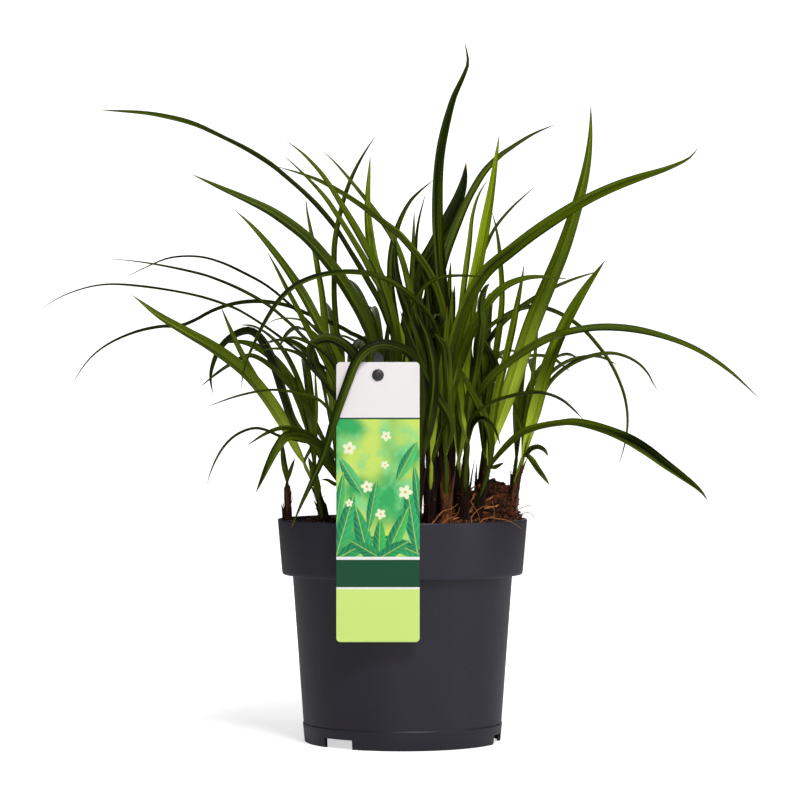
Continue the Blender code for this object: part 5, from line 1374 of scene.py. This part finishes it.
def make_pot(mat):
    inner_step = BAND_FOOT + WALL
    crease = outer_radius(CREASE_HEIGHT)
    corners = [
        (0.0, BASE_HEIGHT, 0.0),
        (FOOT_RADIUS - WALL - 0.6, BASE_HEIGHT, 0.4),
        (FOOT_RADIUS - WALL - 1.0, 0.0, 0.3),
        (FOOT_RADIUS, 0.0, 0.7),
        (crease + 0.4, CREASE_HEIGHT, 0.25),
        (crease - 0.1, CREASE_HEIGHT + 0.7, 0.25),
        (BODY_TOP_RADIUS, BAND_FOOT, 1.4),
        (BAND_FOOT_RADIUS - 0.4, BAND_FOOT, 0.9),
        (BAND_FOOT_RADIUS + 0.1, BAND_FOOT + 2.2, 0.8),
        (RIM_RADIUS, POT_HEIGHT - 0.6, 0.5),
        (RIM_RADIUS - 0.4, POT_HEIGHT, 0.35),
        (RIM_RADIUS - WALL, POT_HEIGHT, 0.4),
        (BAND_FOOT_RADIUS - WALL, inner_step, 0.8),
        (BODY_TOP_RADIUS - WALL, inner_step, 0.8),
        (FOOT_RADIUS - WALL + 1.0, BASE_HEIGHT + WALL, 0.8),
        (0.0, BASE_HEIGHT + WALL, 0.0),
    ]
    pot = object_of(turned(rounded_profile(corners), POT_SIDES), "nursery_pot", mat)
    cutters = []
    for start, end in NOTCHES:
        bm = wedge(start, end, NOTCH_HEIGHT, FOOT_RADIUS - 8.0, FOOT_RADIUS + 4.0)
        cutters.append(object_of(bm, "notch", mat))
    for k in range(DRAIN_HOLES):
        angle = 2.0 * math.pi * (k + 0.5) / DRAIN_HOLES
        bm = bmesh.new()
        bmesh.ops.create_cone(bm, cap_ends=True, segments=40, radius1=DRAIN_RADIUS, radius2=DRAIN_RADIUS,
                              depth=12.0)
        place = (DRAIN_CIRCLE * math.cos(angle), DRAIN_CIRCLE * math.sin(angle), BASE_HEIGHT)
        bmesh.ops.translate(bm, vec=place, verts=bm.verts)
        cutters.append(object_of(bm, "drain", mat))
    cut(pot, cutters)
    kept(pot, "pot_plastic", "pot")


def rod(radius, y_from, y_to, sides):
    """A round rod along Y through the card's hole."""
    bm = bmesh.new()
    bmesh.ops.create_cone(bm, cap_ends=True, segments=sides, radius1=radius, radius2=radius,
                          depth=abs(y_to - y_from))
    turn = Vector((0.0, 0.0, 1.0)).rotation_difference(Vector((0.0, 1.0, 0.0))).to_matrix()
    bmesh.ops.rotate(bm, matrix=turn, verts=bm.verts)
    mid = (y_from + y_to) / 2.0
    bmesh.ops.translate(bm, vec=(CARD_HOLE[0], mid, CARD_HOLE[1]), verts=bm.verts)
    return bm


def make_tag(mat):
    """The card, with rounded corners, softened edges and its round hole."""
    side = CARD_WIDTH / 2.0 - CARD_CORNER
    low, high = CARD_FOOT + CARD_CORNER, CARD_TOP - CARD_CORNER
    middles = ((side, low, -90), (side, high, 0), (-side, high, 90), (-side, low, 180))
    front = CARD_BACK - CARD_THICKNESS
    soft = CARD_SOFTENING
    rings = []
    for y, radius in ((CARD_BACK, CARD_CORNER - soft), (CARD_BACK - soft, CARD_CORNER),
                      (front + soft, CARD_CORNER), (front, CARD_CORNER - soft)):
        ring = []
        for x, z, first in middles:
            for angle in np.radians(first + np.linspace(0.0, 90.0, 13)):
                ring.append((CARD_X + x + radius * math.cos(angle), y, z + radius * math.sin(angle)))
        rings.append(ring)
    card = object_of(ringed(rings), "plant_label", mat)
    hole = object_of(rod(CARD_HOLE_RADIUS, CARD_BACK - 4.0, CARD_BACK + 4.0, 56), "hole", mat)
    cut(card, [hole])
    kept(card, "tag_card", "tag")


def stake_y(z):
    t = (z - STAKE_FOOT[1]) / (STAKE_TOP[1] - STAKE_FOOT[1])
    return STAKE_FOOT[0] + t * (STAKE_TOP[0] - STAKE_FOOT[0])


def make_stake(mat):
    """A flat stake with softened edges, and the knob that holds the card."""
    half = STAKE_WIDTH / 2.0
    thick = STAKE_THICKNESS / 2.0
    rows = []
    heights = [STAKE_FOOT[1], STAKE_FOOT[1] + 16.0]
    heights += list(np.linspace(STAKE_FOOT[1] + 30.0, STAKE_TOP[1] - 4.0, 14))
    heights += [STAKE_TOP[1] - 2.4, STAKE_TOP[1] - 1.0, STAKE_TOP[1]]
    for z in heights:
        width = half * (0.25 + 0.75 * min(1.0, (z - STAKE_FOOT[1]) / 16.0))
        near_top = max(0.0, (z - (STAKE_TOP[1] - 4.0)) / 4.0)
        width *= math.sqrt(max(0.0, 1.0 - near_top ** 2 * 0.8))
        ring = []
        for k in range(STAKE_SIDES):
            a = 2.0 * math.pi * k / STAKE_SIDES
            x = width * math.copysign(abs(math.cos(a)) ** 0.35, math.cos(a))
            y = thick * math.copysign(abs(math.sin(a)) ** 0.35, math.sin(a))
            ring.append((CARD_X + x, stake_y(z) + y, z))
        rows.append(ring)
    stake = object_of(ringed(rows), "label_stake", mat)
    kept(stake, "stake_plastic", "tag_stake")
    front = CARD_BACK - CARD_THICKNESS
    profile = [
        (0.0, stake_y(CARD_HOLE[1])),
        (KNOB_NECK, stake_y(CARD_HOLE[1])),
        (KNOB_NECK, front - GAP),
        (KNOB_RADIUS - 0.3, front - GAP),
        (KNOB_RADIUS, front - GAP - 0.4),
        (KNOB_RADIUS - 0.35, front - GAP - 1.0),
        (KNOB_RADIUS - 1.3, front - GAP - 1.45),
        (1.6, front - GAP - 1.6),
        (1.2, front - GAP - 1.2),
        (0.0, front - GAP - 1.15),
    ]
    bm = turned([(r, -y) for r, y in profile], 56)
    turn = Matrix.Rotation(math.radians(90.0), 3, "X")
    bmesh.ops.rotate(bm, matrix=turn, verts=bm.verts)
    bmesh.ops.translate(bm, vec=(CARD_HOLE[0], 0.0, CARD_HOLE[1]), verts=bm.verts)
    knob = object_of(bm, "label_knob", mat, 40.0)
    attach(knob, BODY)


class Value:
    """A number, colour or place in a material's node tree. Sums and products add Math nodes."""

    def __init__(self, socket):
        self.socket = socket
        self.tree = socket.id_data

    def math(self, operation, *numbers, clamp=False):
        made = self.tree.nodes.new("ShaderNodeMath")
        made.operation = operation
        made.use_clamp = clamp
        for socket, number in zip(made.inputs, numbers or (self,)):
            put(socket, number)
        return Value(made.outputs[0])

    def __add__(self, other):
        return self.math("ADD", self, other)

    def __sub__(self, other):
        return self.math("SUBTRACT", self, other)

    def __rsub__(self, other):
        return self.math("SUBTRACT", other, self)

    def __mul__(self, other):
        return self.math("MULTIPLY", self, other)

    def ramp(self, low, high):
        """0 up to low, then rising smoothly to 1 at high."""
        made = self.tree.nodes.new("ShaderNodeMapRange")
        made.interpolation_type = "SMOOTHSTEP"
        for socket, number in zip(made.inputs, (self, low, high)):
            put(socket, number)
        return Value(made.outputs[0])


def put(socket, value):
    """Links a value to a socket, or sets a number or a colour on it."""
    if isinstance(value, Value):
        value.tree.links.new(value.socket, socket)
    elif isinstance(value, tuple):
        socket.default_value = (*value, 1.0)
    else:
        socket.default_value = value


def new_material(name, roughness, specular=0.5):
    mat = bpy.data.materials.new(name)
    mat.use_nodes = True
    shader = mat.node_tree.nodes["Principled BSDF"]
    put(shader.inputs["Roughness"], roughness)
    put(shader.inputs["Specular IOR Level"], specular)
    return mat, shader


def blend(share, a, b):
    """Colour a, turning into b as the share rises."""
    made = share.tree.nodes.new("ShaderNodeMix")
    made.data_type = "RGBA"
    made.clamp_factor = True
    for number, value in ((0, share), (6, a), (7, b)):
        put(made.inputs[number], value)
    return Value(made.outputs[2])


def tags_of(mat, name):
    """The four numbers of a tag."""
    source = mat.node_tree.nodes.new("ShaderNodeAttribute")
    source.attribute_name = name
    split = mat.node_tree.nodes.new("ShaderNodeSeparateColor")
    put(split.inputs[0], Value(source.outputs["Color"]))
    return [Value(socket) for socket in (*split.outputs, source.outputs["Alpha"])]


def object_place(mat):
    return Value(mat.node_tree.nodes.new("ShaderNodeTexCoord").outputs["Object"])


def grain(place, scale, detail=3.0, roughness=0.55):
    """Noise at a place."""
    made = place.tree.nodes.new("ShaderNodeTexNoise")
    for name, value in (("Vector", place), ("Scale", scale), ("Detail", detail), ("Roughness", roughness)):
        put(made.inputs[name], value)
    return Value(made.outputs[0])


def stretched_grain(places, scales, detail, roughness=0.55):
    """Noise over three numbers, each with its own scale."""
    made = places[0].tree.nodes.new("ShaderNodeCombineXYZ")
    for socket, place, scale in zip(made.inputs, places, scales):
        put(socket, place * scale)
    return grain(Value(made.outputs[0]), 1.0, detail, roughness)


def surface(shader, colour, height, strength, distance):
    """Gives a shader its colour and its fine relief."""
    made = height.tree.nodes.new("ShaderNodeBump")
    for name, value in (("Height", height), ("Strength", strength), ("Distance", distance)):
        put(made.inputs[name], value)
    put(shader.inputs["Base Color"], colour)
    put(shader.inputs["Normal"], Value(made.outputs[0]))


def leaf_material():
    """Ribbed leaf: pale base (partly painted light), green blade with a fine keel, greyer underside, dry
    tip, and painted shade low on leaves without a pale base.
    """
    mat, shader = new_material("sedge_leaf", 0.4, 0.07)
    along, across, tone, base = tags_of(mat, "leaf")
    upper, age, chance, _ = tags_of(mat, "more")
    off_keel = (across - 0.5).math("ABSOLUTE")
    streaks = stretched_grain((across, along, chance), (26.0, 3.0, 40.0), 3.0, 0.6)
    patches = stretched_grain((across, along, chance), (3.2, 2.6, 70.0), 2.0)
    mixed = (patches - 0.5) * 1.2 + tone
    # The tone ramp from deep to fresh green is partly painted light and shade, as the tones follow how lit
    # each leaf looks.
    green = blend(mixed.ramp(0.0, 0.5), LEAF_DEEP_AND_SHADED, LEAF_MID)
    green = blend(mixed.ramp(0.5, 1.0), green, LEAF_FRESH_AND_LIT)
    green = blend(streaks.ramp(0.42, 0.75) * (mixed * 0.6), green, LEAF_STREAK)
    green = blend((1.0 - off_keel.ramp(0.01, 0.07)) * (mixed * 0.5), green, LEAF_KEEL)
    green = blend(off_keel.ramp(0.44, 0.5) * 0.55, green, LEAF_EDGE)
    green = blend((1.0 - upper) * (mixed * 0.3), green, LEAF_UNDER)
    low = 1.0 - along.ramp(0.05, 0.50)
    # Painted shade: the lower half of a leaf without a pale base turns deep green, as at the shaded foot of
    # the clump.
    green = blend(low * base.math("SUBTRACT", 0.6, base, clamp=True), green, LEAF_DEEP_AND_SHADED)
    # The pale base is partly the leaves' own colour and partly painted light on their lower parts.
    green = blend(low * base * streaks.ramp(0.15, 0.50), green, LEAF_PALE)
    green = blend(along.ramp(0.965, 1.0) * age * 0.9, green, LEAF_DRY)
    put(shader.inputs["Roughness"], streaks * 0.22 + 0.30)
    ribs = (across * (2.0 * math.pi * LEAF_RIBS)).math("SINE")
    surface(shader, green, ribs * 0.35 + streaks, 0.35, 0.0004)
    return mat


def sheath_material():
    """Dry scale leaves: nearly black to purple-brown, with orange and tan streaks, greener at the top."""
    mat, shader = new_material("sedge_scale", 0.55, 0.12)
    along, across, tone, _ = tags_of(mat, "leaf")
    _, kind, chance, _ = tags_of(mat, "more")
    veins = stretched_grain((across, along, chance), (30.0, 2.0, 60.0), 4.0, 0.65)
    blotch = stretched_grain((across, along, kind), (5.0, 3.5, 90.0), 3.0, 0.6)
    brown = blend((blotch - 0.5) * 1.6 + tone, SCALE_DARK, SCALE_RED)
    brown = blend(veins.ramp(0.46, 0.62) * blotch.ramp(0.40, 0.60) * (tone * tone), brown, SCALE_TAN)
    brown = blend((1.0 - veins.ramp(0.36, 0.46)) * 0.8, brown, SCALE_VEIN)
    brown = blend(along.ramp(0.55, 1.0) * 0.55, brown, SCALE_GREEN)
    surface(shader, brown, veins, 0.6, 0.0005)
    return mat


def compost_material():
    """Red-brown crumbs with lighter fibres."""
    mat, shader = new_material("potting_compost", 0.92, 0.25)
    place = object_place(mat)
    tone = tags_of(mat, "leaf")[2]
    lumps = grain(place, 260.0, 5.0, 0.7)
    fibres = grain(place, 900.0, 3.0, 0.6)
    brown = blend(tone * 0.45 + (lumps - 0.48) * 2.6, COMPOST_DARK, COMPOST_RED)
    brown = blend(fibres.ramp(0.60, 0.74), brown, COMPOST_FIBRE)
    surface(shader, brown, lumps + fibres * 0.5, 0.9, 0.0012)
    return mat


def root_material():
    """Orange-brown roots, each darker towards its end."""
    mat, shader = new_material("root_fibre", 0.7)
    along, _, tone, _ = tags_of(mat, "leaf")
    spots = grain(object_place(mat), 700.0)
    colour = blend(tone * 0.7 + (spots - 0.4), ROOT_DARK, ROOT_LIGHT)
    surface(shader, blend(along * 0.25, colour, ROOT_DARK), spots, 0.4, 0.0003)
    return mat


def pot_material():
    """Moulded anthracite plastic: fine grain, faint scuffs and dust."""
    mat, shader = new_material("pot_plastic", 0.42, 0.42)
    place = object_place(mat)
    cloud = grain(place, 22.0)
    colour = blend(cloud, POT_DARK, POT_LIGHT)
    colour = blend(grain(place, 130.0, 6.0, 0.75).ramp(0.62, 0.78) * 0.30, colour, POT_DUST)
    put(shader.inputs["Roughness"], cloud * 0.14 + 0.36)
    surface(shader, colour, grain(place, 1400.0, 2.0), 0.12, 0.0002)
    return mat


def turned_place(x, z, centre, size, tilt):
    """Place in a turned and scaled frame: along and across, 1 at the ends."""
    c, s = math.cos(math.radians(tilt)), math.sin(math.radians(tilt))
    dx, dz = x - centre[0] * MM, z - centre[1] * MM
    long, wide = size[0] * MM, size[1] * MM
    return dx * (c / long) + dz * (s / long), dz * (c / wide) - dx * (s / wide)


def printed_leaf(picture, x, z, centre, size, tilt, colour):
    """Paints one pointed leaf with a midrib and side veins over the picture."""
    along, across = turned_place(x, z, centre, size, tilt)
    off = across.math("ABSOLUTE")
    shade = blend(across.ramp(-0.8, 0.8), colour, PRINT_DEEP)
    slant = along * 26.0 - off * 9.0
    shade = blend(slant.math("SINE").ramp(0.55, 1.0) * 0.22, shade, PRINT_MINT)
    shade = blend((1.0 - off.ramp(0.03, 0.10)) * 0.55, shade, PRINT_YELLOW)
    return blend((1.0 - along * along - off).ramp(0.0, 0.12), picture, shade)


def printed_blossom(picture, x, z, centre, radius, turn):
    """Paints one round five-petalled blossom over the picture."""
    along, across = turned_place(x, z, centre, (radius, radius), turn)
    reach = (along * along + across * across).math("SQRT")
    angle = across.math("ARCTAN2", across, along)
    edge = (angle * 2.5).math("COSINE").math("ABSOLUTE") * 0.42 + 0.58
    shade = blend(reach.ramp(0.2, 1.0), PRINT_CREAM, PRINT_PETAL)
    shade = blend(1.0 - reach.ramp(0.14, 0.24), shade, PRINT_HEART)
    return blend((edge - reach).ramp(0.0, 0.14), picture, shade)


def tag_material():
    """A printed card: plain bands, and a picture of pointed leaves and round blossoms in soft greens."""
    mat, shader = new_material("label_print", 0.3, 0.2)
    place = object_place(mat)
    split = mat.node_tree.nodes.new("ShaderNodeSeparateXYZ")
    put(split.inputs[0], place)
    x, y, z = [Value(socket) for socket in split.outputs]
    picture = blend(grain(place, 30.0, 1.0).ramp(0.38, 0.62), PRINT_GREEN, PRINT_YELLOW)
    picture = blend(grain(place, 75.0, 2.0).ramp(0.45, 0.75), picture, PRINT_MINT)
    for centre, size, tilt, colour in PRINT_LEAVES:
        picture = printed_leaf(picture, x, z, centre, size, tilt, colour)
    for centre, radius, turn in PRINT_BLOSSOMS:
        picture = printed_blossom(picture, x, z, centre, radius, turn)
    colour = BANDS[-1][1]
    for foot, band in BANDS[-2::-1]:
        colour = blend(z.math("GREATER_THAN", z, foot * MM), colour, band or picture)
    front = y.math("LESS_THAN", y, (CARD_BACK - CARD_THICKNESS / 2.0) * MM)
    surface(shader, blend(front, CARD_PLAIN, colour), grain(place, 500.0, 2.0), 0.04, 0.0002)
    return mat


def stake_material():
    """Dark plastic with a faint cloud."""
    mat, shader = new_material("stake_plastic", 0.4)
    place = object_place(mat)
    colour = blend(grain(place, 200.0), STAKE_DARK, STAKE_LIGHT)
    surface(shader, colour, grain(place, 1500.0, 2.0), 0.1, 0.0002)
    return mat


def add_light(name, place, aim, size, power):
    data = bpy.data.lights.new(name, "AREA")
    data.shape = "RECTANGLE"
    data.size, data.size_y = size
    data.energy = power
    lamp = bpy.data.objects.new(name, data)
    lamp.location = place
    lamp.rotation_euler = (Vector(aim) - Vector(place)).to_track_quat("-Z", "Y").to_euler()
    bpy.context.scene.collection.objects.link(lamp)


def studio_floor_material():
    """White floor that stays white far away and keeps a light shadow near the pot."""
    mat, shader = new_material("studio_white", 0.9, 0.0)
    put(shader.inputs["Base Color"], (0.93, 0.93, 0.93))
    put(shader.inputs["Emission Color"], (1.0, 1.0, 1.0))
    reach = mat.node_tree.nodes.new("ShaderNodeVectorMath")
    reach.operation = "LENGTH"
    put(reach.inputs[0], object_place(mat))
    rays = mat.node_tree.nodes.new("ShaderNodeLightPath")
    far = Value(reach.outputs["Value"]).ramp(0.15, 0.9) * 0.5 + FLOOR_GLOW
    put(shader.inputs["Emission Strength"], far * Value(rays.outputs["Is Camera Ray"]))
    return mat


def make_world():
    """Weak white light from all round, and a white ground behind the part."""
    world = bpy.data.worlds.new("studio")
    bpy.context.scene.world = world
    world.use_nodes = True
    nodes = world.node_tree.nodes
    mixed = nodes.new("ShaderNodeMixShader")
    put(mixed.inputs[0], Value(nodes.new("ShaderNodeLightPath").outputs["Is Camera Ray"]))
    backgrounds = ((nodes["Background"], WORLD_GLOW), (nodes.new("ShaderNodeBackground"), BACKDROP_GLOW))
    for socket, (background, glow) in zip(mixed.inputs[1:], backgrounds):
        put(background.inputs[0], (1.0, 1.0, 1.0))
        put(background.inputs[1], glow)
        put(socket, Value(background.outputs[0]))
    put(nodes["World Output"].inputs[0], Value(mixed.outputs[0]))


def make_studio():
    """White floor and backdrop, a large soft light in front and above, weak fills, and the camera."""
    bm = bmesh.new()
    bmesh.ops.create_grid(bm, x_segments=1, y_segments=1, size=FLOOR_REACH)
    object_of(bm, "studio_floor", studio_floor_material())
    make_world()
    for light in LIGHTS:
        add_light(*light)
    data = bpy.data.cameras.new("camera")
    data.lens = CAMERA_LENS
    data.sensor_width = 36.0
    data.clip_end = 50.0
    camera = bpy.data.objects.new("camera", data)
    camera.location = CAMERA_PLACE
    camera.rotation_euler = (math.radians(90.0), 0.0, 0.0)
    bpy.context.scene.collection.objects.link(camera)
    bpy.context.scene.camera = camera
    bpy.context.scene.view_settings.view_transform = "Standard"


def main():
    for obj in list(bpy.data.objects):
        bpy.data.objects.remove(obj, do_unlink=True)
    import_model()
    make_studio()
    shoots, leaves = plan_leaves()
    bend_clear(shoots, leaves)
    make_shoots(shoots, leaves, leaf_material())
    make_sheaths(shoots, sheath_material())
    make_compost(compost_material())
    make_roots(root_material())
    make_pot(pot_material())
    make_tag(tag_material())
    make_stake(stake_material())


main()
